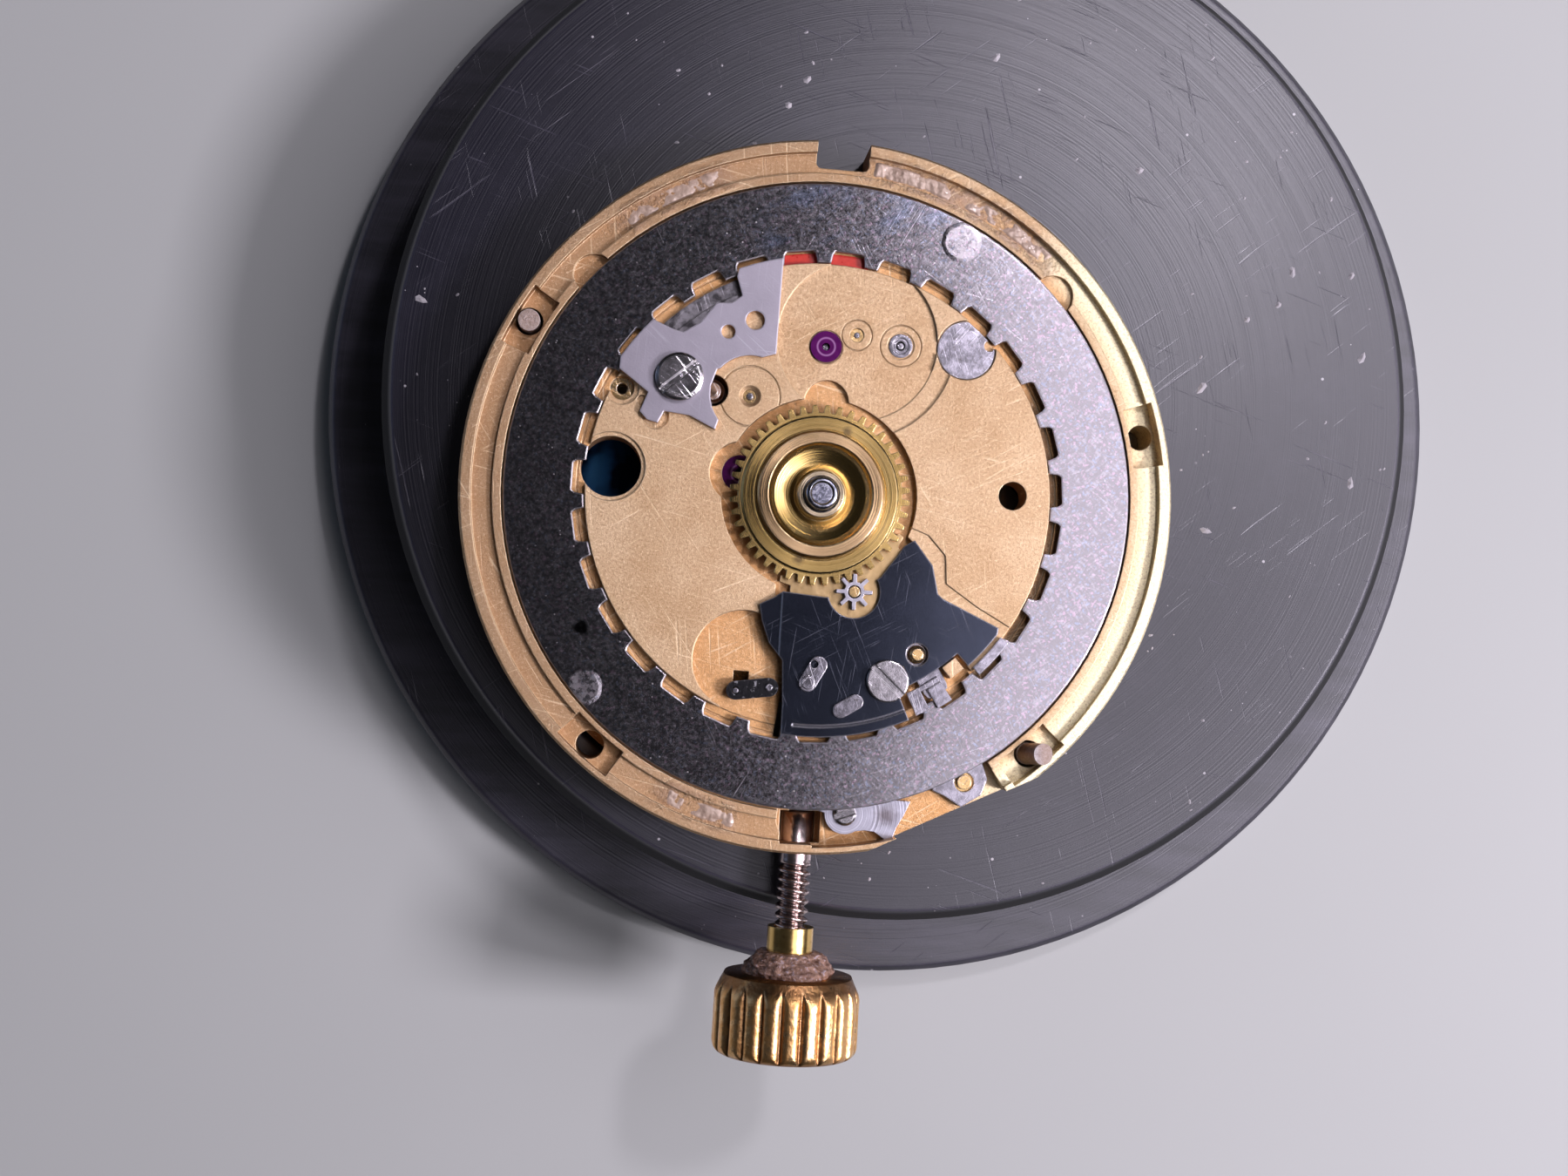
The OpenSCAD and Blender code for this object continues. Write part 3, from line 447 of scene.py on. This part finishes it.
def grey_plate_material():
    s = Shader("retaining_plate_grey", Metallic=0.9)
    edge_wear_and_highlight = s.edges(0.08)
    grain = s.noise(13, 4)
    cloud = s.noise(0.9, 4)
    base = s.mix(cloud, (0.30, 0.28, 0.315), (0.42, 0.39, 0.44))
    scratch = s.scratches((5, 40, 95), 0.06, 0.3, 14)
    base = s.over(base, scratch, 0.35, (0.62, 0.60, 0.66))
    below = s.ramp(s.height(), top_of("date_retaining_plate") - 0.02, top_of("date_retaining_plate") - 0.06)
    base = s.over(base, below, 0.8, (0.70, 0.44, 0.20))
    # Edge wear: pale colour along the edges, which is also a painted edge highlight.
    base = s.over(base, edge_wear_and_highlight, 0.8, (0.92, 0.88, 0.92))
    return s.set(Base_Color=base, Roughness=s.blend(grain, 0.40, 0.56),
                 Normal=s.bump(grain, 0.006, 0.5))


def black_plate_material():
    """Black polish covered in fine hair scratches, with edge wear carrying a painted edge highlight."""
    s = Shader("jumper_plate_black", Metallic=0.8)
    edge_wear_and_highlight = s.edges(0.08)
    cloud = s.noise(0.7, 4)
    grain = s.noise(22, 3)
    fibre = s.scratches((20, 66, 97, 150), 0.05, 0.30, 15)
    base = s.mix(cloud, (0.024, 0.029, 0.042), (0.050, 0.058, 0.086))
    base = s.over(base, s.ramp(grain, 0.60, 0.75), 0.25, (0.12, 0.13, 0.18))
    base = s.over(base, fibre, 0.22, (0.50, 0.50, 0.56))
    # Edge wear: near-white along the edges, which is also a painted edge highlight.
    base = s.over(base, edge_wear_and_highlight, 0.9, (0.95, 0.92, 0.96))
    return s.set(Base_Color=base, Roughness=s.blend(edge_wear_and_highlight, s.blend(grain, 0.12, 0.18), 0.40),
                 Normal=s.bump(fibre, -0.003, 0.4, s.bump(grain, 0.002, 0.3)))


def steel_material(name, tone, low, high, turns=(25, 70, 130), dirt=0.35):
    """Steel with hairline scratches; tone is its colour, low and high its roughness."""
    s = Shader(name, Metallic=1.0)
    edge_wear_and_highlight = s.edges(0.06)
    cloud = s.noise(2.6, 5, rough=0.6)
    scratch = s.scratches(turns, 0.08, 0.4, 16)
    base = s.mix(s.ramp(cloud, 0.38, 0.60), tuple(c * (1 - dirt) for c in tone), tone)
    base = s.over(base, s.ramp(s.noise(5, 5), 0.60, 0.70), dirt, (0.10, 0.085, 0.08))
    base = s.over(base, scratch, 0.5, (0.92, 0.90, 0.92))
    # Edge wear: pale colour along the edges, which is also a painted edge highlight.
    base = s.over(base, edge_wear_and_highlight, 0.7, (1.0, 0.95, 0.94))
    face = s.bump(s.noise(12, 4), 0.006, 0.5)
    face = s.bump(scratch, -0.006, 0.6, face)
    return s.set(Base_Color=base, Roughness=s.blend(edge_wear_and_highlight, s.blend(cloud, low, high), 0.38), Normal=face)


def hour_wheel_material():
    """Turned brass of the hour wheel: olive rings, a pinker boss and a smudge or two."""
    s = Shader("hour_wheel_brass", Metallic=1.0)
    edge_wear_and_highlight = s.edges(0.05)
    out = s.radius(MOVE)
    fine = s.rings(MOVE, 22, detail=5)
    broad = s.rings(MOVE, 3.5, detail=2)
    cloud = s.noise(1.4, 4)
    base = s.mix(broad, (0.42, 0.275, 0.085), (0.60, 0.42, 0.16))
    base = s.over(base, s.ramp(fine, 0.5, 0.72), 0.4, (0.76, 0.57, 0.27))
    base = s.over(base, s.band(out, 1.88, 2.28, 0.03), 0.6, (0.76, 0.52, 0.32))
    base = s.over(base, s.band(out, 2.32, 2.37, 0.02), 0.7, (0.16, 0.10, 0.04))
    base = s.over(base, s.band(out, 0.0, 0.90, 0.02), 0.55, (0.80, 0.70, 0.56))
    base = s.over(base, s.ramp(cloud, 0.55, 0.75), 0.35, (0.40, 0.27, 0.10))
    for angle in (70, -105):
        spot = polar(2.45, angle)
        base = s.over(base, s.near((spot.x, spot.y, 0), 0.26, 0.7), 0.7, (0.12, 0.08, 0.05))
    # Edge wear: pale brass along the edges, which is also a painted edge highlight.
    base = s.over(base, edge_wear_and_highlight, 0.6, (1.0, 0.86, 0.52))
    brushed_round(s, "Z", 0.85)
    return s.set(Base_Color=base, Roughness=s.blend(fine, 0.17, 0.28),
                 Normal=s.bump(fine, 0.005, 0.6, s.bump(broad, 0.008, 0.3)))


def seconds_material():
    """Brass wheel on an arbor whose end, above the hands' seats, is mottled steel."""
    s = Shader("seconds_wheel_brass", Metallic=1.0)
    edge_wear_and_highlight = s.edges(0.05)
    mottle = s.noise(6, 5, rough=0.7)
    above = s.ramp(s.height(), MOVE.z + 0.80, MOVE.z + 0.84)
    brass = s.mix(mottle, (0.62, 0.42, 0.18), (0.82, 0.60, 0.30))
    steel = s.mix(s.ramp(mottle, 0.38, 0.60), (0.10, 0.11, 0.16), (0.50, 0.50, 0.58))
    # Edge wear: near-white along the edges, which is also a painted edge highlight.
    base = s.mix(s.times(edge_wear_and_highlight, 0.6), s.mix(above, brass, steel), (0.96, 0.92, 0.94))
    return s.set(Base_Color=base, Roughness=s.blend(mottle, 0.18, 0.34), Normal=s.bump(mottle, 0.015, 0.6))


def cannon_material():
    """Blue-grey steel of the cannon pinion, mottled on top."""
    s = Shader("cannon_steel", Metallic=1.0)
    edge_wear_and_highlight = s.edges(0.04)
    mottle = s.noise(5, 5, rough=0.7)
    base = s.mix(s.ramp(mottle, 0.38, 0.62), (0.16, 0.17, 0.21), (0.56, 0.57, 0.64))
    # Edge wear: near-white along the edges, which is also a painted edge highlight.
    base = s.over(base, edge_wear_and_highlight, 0.7, (0.98, 0.96, 0.98))
    brushed_round(s, "Z", 0.5)
    return s.set(Base_Color=base, Roughness=s.blend(mottle, 0.14, 0.30), Normal=s.bump(mottle, 0.01, 0.5))


def minute_wheel_material():
    """Gilt disc below, bare steel leaves above."""
    s = Shader("minute_wheel_two_tone", Metallic=1.0)
    edge_wear_and_highlight = s.edges(0.03)
    cloud = s.noise(4, 4)
    above = s.ramp(s.height(), MOVE.z - 0.13, MOVE.z - 0.11)
    low = s.mix(cloud, (0.58, 0.38, 0.16), (0.78, 0.56, 0.30))
    high = s.mix(cloud, (0.42, 0.40, 0.46), (0.68, 0.66, 0.72))
    base = s.mix(above, low, high)
    # Edge wear: pale colour along the edges, which is also a painted edge highlight.
    base = s.over(base, edge_wear_and_highlight, 0.7, (1.0, 0.93, 0.92))
    return s.set(Base_Color=base, Roughness=s.blend(cloud, 0.22, 0.40), Normal=s.bump(cloud, 0.008, 0.5))


def setting_lever_material():
    """Lavender-grey lever, turned round its pivot and stained at the tail."""
    s = Shader("setting_lever_steel", Metallic=1.0)
    edge_wear_and_highlight = s.edges(0.035)
    pivot = MOVE + Vector((1.65, -11.51, 0))
    marks = s.rings(pivot, 12, detail=3)
    cloud = s.noise(2.2, 5)
    base = s.mix(cloud, (0.36, 0.35, 0.41), (0.60, 0.59, 0.66))
    base = s.over(base, s.ramp(marks, 0.5, 0.7), 0.5, (0.74, 0.74, 0.80))
    stain = s.near(MOVE + Vector((3.2, -11.5, 0)), 0.55, 0.8)
    base = s.over(base, stain, 0.75, (0.13, 0.10, 0.10))
    # Edge wear: pale colour along the edges, which is also a painted edge highlight.
    base = s.over(base, edge_wear_and_highlight, 0.8, (1.0, 0.96, 0.95))
    return s.set(Base_Color=base, Roughness=s.blend(cloud, 0.28, 0.42), Normal=s.bump(marks, 0.008, 0.6))


def jewel_material():
    """Polished ruby-purple stone, with a painted highlight: a pale ring painted round its oil cup."""
    s = Shader("jewel_purple", Metallic=0.0, IOR=1.6)
    middle = centre_of("pivot_jewels")
    cloud = s.noise(5, 3)
    rim = None
    for place in (MOVE + Vector((-0.06, 5.45, 0)), MOVE + Vector((-2.91, 0.65, 0))):
        ring = s.band(s.radius((place.x, place.y, middle.z)), 0.30, 0.34, 0.03)
        rim = ring if rim is None else s.either(rim, ring)
    base = s.mix(cloud, (0.05, 0.004, 0.055), (0.13, 0.012, 0.125))
    # Painted highlight: a pale ring round each oil cup.
    base = s.over(base, rim, 0.7, (0.60, 0.30, 0.60))
    return s.set(Base_Color=base, Roughness=s.blend(cloud, 0.04, 0.10))


def crown_material():
    """Worn orange gilt: paler on the ridges, where edge wear carries a painted edge highlight, with brown
    dirt and painted shade in the flutes and round the front.
    """
    s = Shader("crown_gilt_worn", Metallic=1.0)
    edge_wear_and_highlight = s.edges(0.06, 0.02, 0.2)
    axis = (MOVE.x, 0, STEM_Z)
    out = s.radius(axis, (1, 0, 1))
    # Brown dirt and painted shade: darker brown laid in the flutes and round the front chamfer.
    dirt = s.times(s.ramp(out, 2.66, 2.52), s.ramp(s.noise(1.8, 5), 0.24, 0.46))
    speck = s.ramp(s.noise(6, 5, rough=0.7), 0.60, 0.70)
    wear = s.ramp(s.noise(2.5, 4), 0.40, 0.7)
    base = s.mix(wear, (0.84, 0.46, 0.17), (0.98, 0.66, 0.33))
    base = s.over(base, dirt, 0.8, (0.17, 0.075, 0.035))
    base = s.over(base, speck, 0.5, (0.30, 0.13, 0.05))
    # Edge wear: pale colour along the ridges, which is also a painted edge highlight.
    base = s.over(base, edge_wear_and_highlight, 0.6, (1.0, 0.82, 0.46))
    return s.set(Base_Color=base, Roughness=s.blend(wear, 0.36, 0.25),
                 Normal=s.bump(s.noise(6, 5), 0.035, 0.7))


def collar_material():
    s = Shader("collar_brass", Metallic=1.0)
    edge_wear_and_highlight = s.edges(0.06)
    cloud = s.noise(2.5, 4)
    marks = s.noise(12, 3, (0.15, 1, 0.15))
    base = s.mix(cloud, (0.66, 0.40, 0.11), (0.90, 0.66, 0.28))
    base = s.over(base, s.ramp(s.noise(4, 5), 0.58, 0.68), 0.5, (0.25, 0.12, 0.05))
    # Edge wear: pale colour along the edges, which is also a painted edge highlight.
    base = s.over(base, edge_wear_and_highlight, 0.6, (1.0, 0.88, 0.58))
    return s.set(Base_Color=base, Roughness=s.blend(cloud, 0.14, 0.28), Normal=s.bump(marks, 0.008, 0.6))


def thread_material():
    """Pinkish thread steel, darker at its root."""
    s = Shader("stem_steel", Metallic=1.0)
    edge_wear_and_highlight = s.edges(0.03)
    out = s.radius((MOVE.x, 0, STEM_Z), (1, 0, 1))
    cloud = s.noise(3, 4)
    base = s.mix(cloud, (0.46, 0.36, 0.34), (0.72, 0.60, 0.58))
    root = s.times(s.ramp(out, 0.57, 0.50), s.ramp(s.height(), STEM_Z - 9, STEM_Z - 8))
    base = s.over(base, root, 0.5, (0.12, 0.075, 0.06))
    # Edge wear: pale colour along the edges, which is also a painted edge highlight.
    base = s.over(base, edge_wear_and_highlight, 0.6, (1.0, 0.90, 0.88))
    return s.set(Base_Color=base, Roughness=s.blend(cloud, 0.16, 0.30), Normal=s.bump(cloud, 0.01, 0.4))


def crust_material():
    """Brown crust of an old gasket, with purple-grey lumps."""
    s = Shader("gasket_crust", Metallic=0.0, Coat_Weight=0.25)
    lump = s.noise(3.5, 6, rough=0.7)
    fleck = s.noise(7, 4)
    base = s.mix(s.ramp(lump, 0.38, 0.62), (0.10, 0.045, 0.028), (0.40, 0.24, 0.17))
    base = s.over(base, s.ramp(fleck, 0.56, 0.66), 0.7, (0.42, 0.36, 0.42))
    return s.set(Base_Color=base, Roughness=s.blend(lump, 0.32, 0.75),
                 Normal=s.bump(lump, 0.10, 0.9, s.bump(fleck, 0.04, 0.7)))


def residue_material():
    s = Shader("dried_residue", Metallic=0.15, Coat_Weight=0.4)
    lump = s.noise(4, 6)
    base = s.mix(lump, (0.20, 0.12, 0.08), (0.62, 0.48, 0.38))
    return s.set(Base_Color=base, Roughness=s.blend(lump, 0.22, 0.6),
                 Normal=s.bump(lump, 0.04, 0.8))


def dust_material():
    s = Shader("dust_flakes", Metallic=0.0)
    tone = s.noise(3, 3)
    return s.set(Base_Color=s.mix(tone, (0.20, 0.19, 0.20), (0.55, 0.52, 0.54)),
                 Roughness=s.blend(tone, 0.5, 0.8))


def red_material():
    s = Shader("lacquer_red", Metallic=0.0, Coat_Weight=0.5)
    cloud = s.noise(6, 4)
    return s.set(Base_Color=s.mix(cloud, (0.36, 0.012, 0.006), (0.68, 0.04, 0.02)),
                 Roughness=s.blend(cloud, 0.2, 0.4))


def lever_material():
    """Black lever, bare metal showing where it has rubbed."""
    s = Shader("lever_black_worn", Metallic=0.7)
    edge_wear_and_highlight = s.edges(0.05)
    wear = s.ramp(s.noise(4.5, 5), 0.58, 0.68)
    # Rubbed patches and edge wear show bare metal; along the edges this is also a painted edge highlight.
    wear = s.either(wear, s.times(edge_wear_and_highlight, s.ramp(s.noise(3, 3), 0.4, 0.6)))
    base = s.mix(wear, (0.012, 0.012, 0.014), (0.55, 0.54, 0.57))
    return s.set(Base_Color=base, Roughness=s.blend(wear, 0.34, 0.2),
                 Normal=s.bump(s.noise(8, 4), 0.02, 0.7))


def stub_material():
    """Sawn-off dial foot: rough silvery end and a brown side."""
    s = Shader("stub_rough", Metallic=0.9)
    edge_wear_and_highlight = s.edges(0.05)
    rough = s.noise(7, 6, rough=0.8)
    side = s.ramp(s.height(), MOVE.z + 0.55, MOVE.z + 0.35)
    base = s.mix(s.ramp(rough, 0.35, 0.65), (0.26, 0.24, 0.25), (0.72, 0.69, 0.70))
    base = s.over(base, side, 0.6, (0.30, 0.17, 0.09))
    # Edge wear: pale colour along the edges, which is also a painted edge highlight.
    base = s.over(base, edge_wear_and_highlight, 0.5, (0.95, 0.90, 0.88))
    return s.set(Base_Color=base, Roughness=s.blend(rough, 0.35, 0.6), Normal=s.bump(rough, 0.05, 0.9))


def nickel_material():
    """Bridges and weight under the plate, grained in rings, with painted shade and a painted blue
    reflection under the sight hole.
    """
    s = Shader("bridge_nickel", Metallic=1.0)
    edge_wear_and_highlight = s.edges(0.05)
    marks = s.rings(MOVE, 5, detail=4)
    base = s.mix(marks, (0.46, 0.44, 0.43), (0.66, 0.64, 0.62))
    # Painted shade and painted reflection: under the sight hole the bridge is painted near-black with a
    # blue patch, standing in for the hole's shadow and a blue reflection.
    below_hole = s.ramp(s.radius((MOVE.x - 7.6, MOVE.y + 0.58, 0)), 1.6, 1.4)
    sight_hole_painted_shade_and_reflection = s.mix(s.ramp(s.noise(0.8, 2), 0.4, 0.6), (0.006, 0.012, 0.03), (0.02, 0.10, 0.28))
    base = s.mix(below_hole, base, sight_hole_painted_shade_and_reflection)
    # Edge wear: pale colour along the edges, which is also a painted edge highlight.
    base = s.over(base, edge_wear_and_highlight, 0.6, (0.95, 0.93, 0.92))
    brushed_round(s, "Z", 0.5)
    return s.set(Base_Color=base, Roughness=s.blend(marks, 0.25, 0.4), Normal=s.bump(marks, 0.005, 0.5))


def polar(distance, angle, height=0.0):
    """Point at a distance and angle from the movement's centre, in millimetres."""
    a = math.radians(angle)
    return Vector((MOVE.x + distance * math.cos(a), MOVE.y + distance * math.sin(a), MOVE.z + height))


MATERIALS = {
    "holder_black": holder_material(),
    "plate_gold": gilt_material(),
    "ring_steel": ring_material(),
    "grey_plate": grey_plate_material(),
    "black_plate": black_plate_material(),
    "steel": steel_material("steel_bright", (0.44, 0.42, 0.47), 0.16, 0.30, dirt=0.5),
    "screw_steel": steel_material("screw_polished", (0.55, 0.52, 0.54), 0.14, 0.26, (5, 20, 33, 48)),
    "brass": steel_material("brass_plain", (0.80, 0.54, 0.24), 0.2, 0.35, dirt=0.2),
    "gilt_crown": crown_material(),
    "jewel": jewel_material(),
    "gasket": crust_material(),
    "lacquer_red": red_material(),
    "lever_black": lever_material(),
    "stub_grey": stub_material(),
    "bridge_nickel": nickel_material(),
}
SPECIAL = {
    "hour_wheel": hour_wheel_material(),
    "cannon_pinion": cannon_material(),
    "seconds_wheel": seconds_material(),
    "minute_wheel": minute_wheel_material(),
    "setting_lever": setting_lever_material(),
    "stem_collar": collar_material(),
    "date_ring_guard": steel_material("guard_dark", (0.34, 0.32, 0.34), 0.2, 0.45, dirt=0.7),
    "plate_stud": steel_material("stud_dark", (0.34, 0.22, 0.15), 0.2, 0.45, dirt=0.5),
}
THREAD = thread_material()
RESIDUE = residue_material()
DUST = dust_material()
SLOT_OF = {row["node"]: row["material_slot"] for row in frame["record"]["subparts"]}
BODY_OF = {node: body for body, nodes in frame["record"]["behaviour"]["bodies"].items() for node in nodes}


def dress(piece, node, material=None):
    """Gives a piece one material, by default that of the CAD node it stands for."""
    piece.data.materials.clear()
    piece.data.materials.append(material or MATERIALS[SLOT_OF[node]])


# ---------------------------------------------------------------- pieces

def link_mesh(name, bm, smooth=True):
    mesh = bpy.data.meshes.new(name)
    bmesh.ops.recalc_face_normals(bm, faces=bm.faces)
    bm.to_mesh(mesh)
    bm.free()
    for face in mesh.polygons:
        face.use_smooth = smooth
    piece = bpy.data.objects.new(name, mesh)
    scene.collection.objects.link(piece)
    return piece


def stand_for(piece, node):
    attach(piece, BODY_OF[node])
    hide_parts(node)


def lathe(name, rings, columns, radius_at):
    """Closed skin round the stem's axis; rings are places along it, radius_at(place, angle) its radius."""
    bm = bmesh.new()
    loops = []
    for place in rings:
        loop = []
        for i in range(columns):
            a = 2 * math.pi * i / columns
            r = radius_at(place, a)
            spot = Vector((MOVE.x + r * math.cos(a), place, STEM_Z + r * math.sin(a)))
            loop.append(bm.verts.new(spot * MM))
        loops.append(loop)
    for low, high in zip(loops, loops[1:]):
        for i in range(columns):
            j = (i + 1) % columns
            bm.faces.new((low[i], low[j], high[j], high[i]))
    for loop in (loops[0], loops[-1]):
        bm.faces.new(loop)
    return link_mesh(name, bm)


def steps(start, end, count):
    return [start + (end - start) * i / count for i in range(count + 1)]


def build_crown():
    """Fluted crown whose ridges end in pointed arches on the front chamfer."""
    lo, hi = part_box("crown")
    back, front = lo[1] / MM, hi[1] / MM
    outer = (hi[0] - lo[0]) / 2 / MM
    flutes, deep = 22, 0.21

    def radius_at(place, a):
        ridge = 1 - abs((a * flutes / (2 * math.pi)) % 1 - 0.5) * 2
        body = outer - deep * (1 - math.sin(ridge * math.pi / 2)) ** 1.6
        wobble = 0.012 * noise.noise(Vector((3 * math.cos(a), place * 2, 3 * math.sin(a))))
        from_front, from_back = front - place, place - back
        cone = outer - 0.32 + 0.46 * from_front + wobble * 2
        dome = outer - 0.34 + 0.34 * math.sqrt(max(0.0, 1 - max(0.0, 1 - from_back / 0.42) ** 2))
        return min(body + wobble, cone, dome)

    rows = [back] + steps(back + 0.012, back + 0.45, 9) + steps(back + 0.6, front - 0.6, 10)
    rows += steps(front - 0.5, front, 16)
    piece = lathe("crown_fluted", rows, flutes * 16, radius_at)
    dress(piece, "crown")
    stand_for(piece, "crown")


def build_gasket():
    """Lumpy, ragged crust."""
    lo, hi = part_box("crown_gasket")
    back, front = lo[1] / MM, hi[1] / MM
    outer = (hi[0] - lo[0]) / 2 / MM

    def radius_at(place, a):
        share = (front - place) / (front - back)
        base = 1.12 + (outer - 1.16) * min(1, share * 1.35) ** 0.8
        lumps = Vector((2.1 * math.cos(a), place * 2.4, 2.1 * math.sin(a)))
        ragged = 0.22 * noise.noise(lumps) + 0.12 * noise.noise(lumps * 2.7) + 0.05 * noise.noise(lumps * 6)
        return max(0.9, min(outer + 0.04, base + ragged))

    piece = lathe("gasket_crusted", steps(back, front, 30), 180, radius_at)
    dress(piece, "crown_gasket")
    stand_for(piece, "crown_gasket")


def build_stem():
    """Stem with a cut thread: a helical groove between the collar and the plate."""
    lo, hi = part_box("stem")
    back, front = lo[1] / MM, hi[1] / MM
    journal = 0.60
    # where each plain length ends, measured from the movement's centre, and its radius
    shoulders = ((-8.5, 0.22), (-9.75, 0.26), (-10.87, 0.38), (-10.97, journal), (-11.33, 0.35),
                 (-13.25, journal))
    first, last, pitch = MOVE.y - 13.35, MOVE.y - 18.0, 0.34

    def radius_at(place, a):
        for end, radius in shoulders:
            if place - MOVE.y > end:
                return radius
        if place > first:
            return journal
        turn = ((first - place) / pitch + a / (2 * math.pi)) % 1
        tooth = 1 - abs(turn - 0.5) * 2
        run_in = min(1, (first - place) / 0.15)
        return 0.61 - 0.155 * run_in * (1 - min(1, max(0.0, tooth * 1.5 - 0.18)))

    rows = {back, front}
    for end, _ in shoulders:
        rows.update((MOVE.y + end + 0.006, MOVE.y + end - 0.006))
    rows.update(steps(first, max(last, back), 190))
    piece = lathe("stem_threaded", sorted(rows), 40, radius_at)
    dress(piece, "stem", THREAD)
    stand_for(piece, "stem")


def build_residue():
    """Dried patches lying in the plate's outer channel."""
    channel_z, inner, wide = MOVE.z - 0.30, 11.86, 0.64
    patches = ((108, 129, 0.07), (49, 84, 0.10), (-114, -101, 0.08))   # from, to, thickness
    for index, (low, high, thick) in enumerate(patches):
        bm = bmesh.new()
        columns, rows = int((high - low) * 7), 18
        grid = []
        for i in range(columns + 1):
            a = math.radians(low + (high - low) * i / columns)
            line = []
            for j in range(rows + 1):
                r = inner + wide * j / rows
                x, y = MOVE.x + r * math.cos(a), MOVE.y + r * math.sin(a)
                lump = noise.fractal(Vector((x * 1.3, y * 1.3, index * 7.0)), 1.0, 2.0, 5)
                rim = min(i, columns - i, 6) / 6 * min(j, rows - j, 3) / 3
                z = channel_z - 0.03 + thick * max(0.0, lump + 0.45) * rim
                line.append(bm.verts.new(Vector((x, y, z)) * MM))
            grid.append(line)
        for one, two in zip(grid, grid[1:]):
            for j in range(rows):
                bm.faces.new((one[j], one[j + 1], two[j + 1], two[j]))
        piece = link_mesh("residue_%d" % (index + 1), bm)
        dress(piece, "main_plate", RESIDUE)
        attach(piece, "movement")


def build_dust():
    """Tiny flakes of dust and swarf on the holder's top."""
    bm = bmesh.new()
    flakes, reach, clear_of_plate = 150, 19.0, 13.4
    for _ in range(flakes):
        a, r = rng.uniform(0, 2 * math.pi), reach * math.sqrt(rng.uniform(0.05, 1))
        x, y = r * math.cos(a), r * math.sin(a)
        if math.hypot(x - MOVE.x, y - MOVE.y) < clear_of_plate:
            continue
        size = rng.choice((0.04, 0.05, 0.06, 0.07, 0.16))
        turn, long = rng.uniform(0, math.pi), rng.uniform(1, 2.2)
        corners = []
        for k in range(6):
            b = math.pi * k / 3
            u, v = long * size * math.cos(b) * rng.uniform(0.6, 1), size * math.sin(b) * rng.uniform(0.6, 1)
            corner = Vector((x + u * math.cos(turn) - v * math.sin(turn),
                             y + u * math.sin(turn) + v * math.cos(turn), HOLDER_TOP))
            corners.append(bm.verts.new(corner * MM))
        peak = bm.verts.new(Vector((x, y, HOLDER_TOP + size * 0.5)) * MM)
        for k in range(6):
            bm.faces.new((corners[k], corners[(k + 1) % 6], peak))
        bm.faces.new(corners)
    piece = link_mesh("holder_dust", bm, smooth=False)
    dress(piece, "holder_body", DUST)
    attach(piece, "holder")


add_camera()
add_stage()

for node, item in NODES.items():
    dress(item, node, SPECIAL.get(node))

build_crown()
build_gasket()
build_stem()
build_residue()
build_dust()
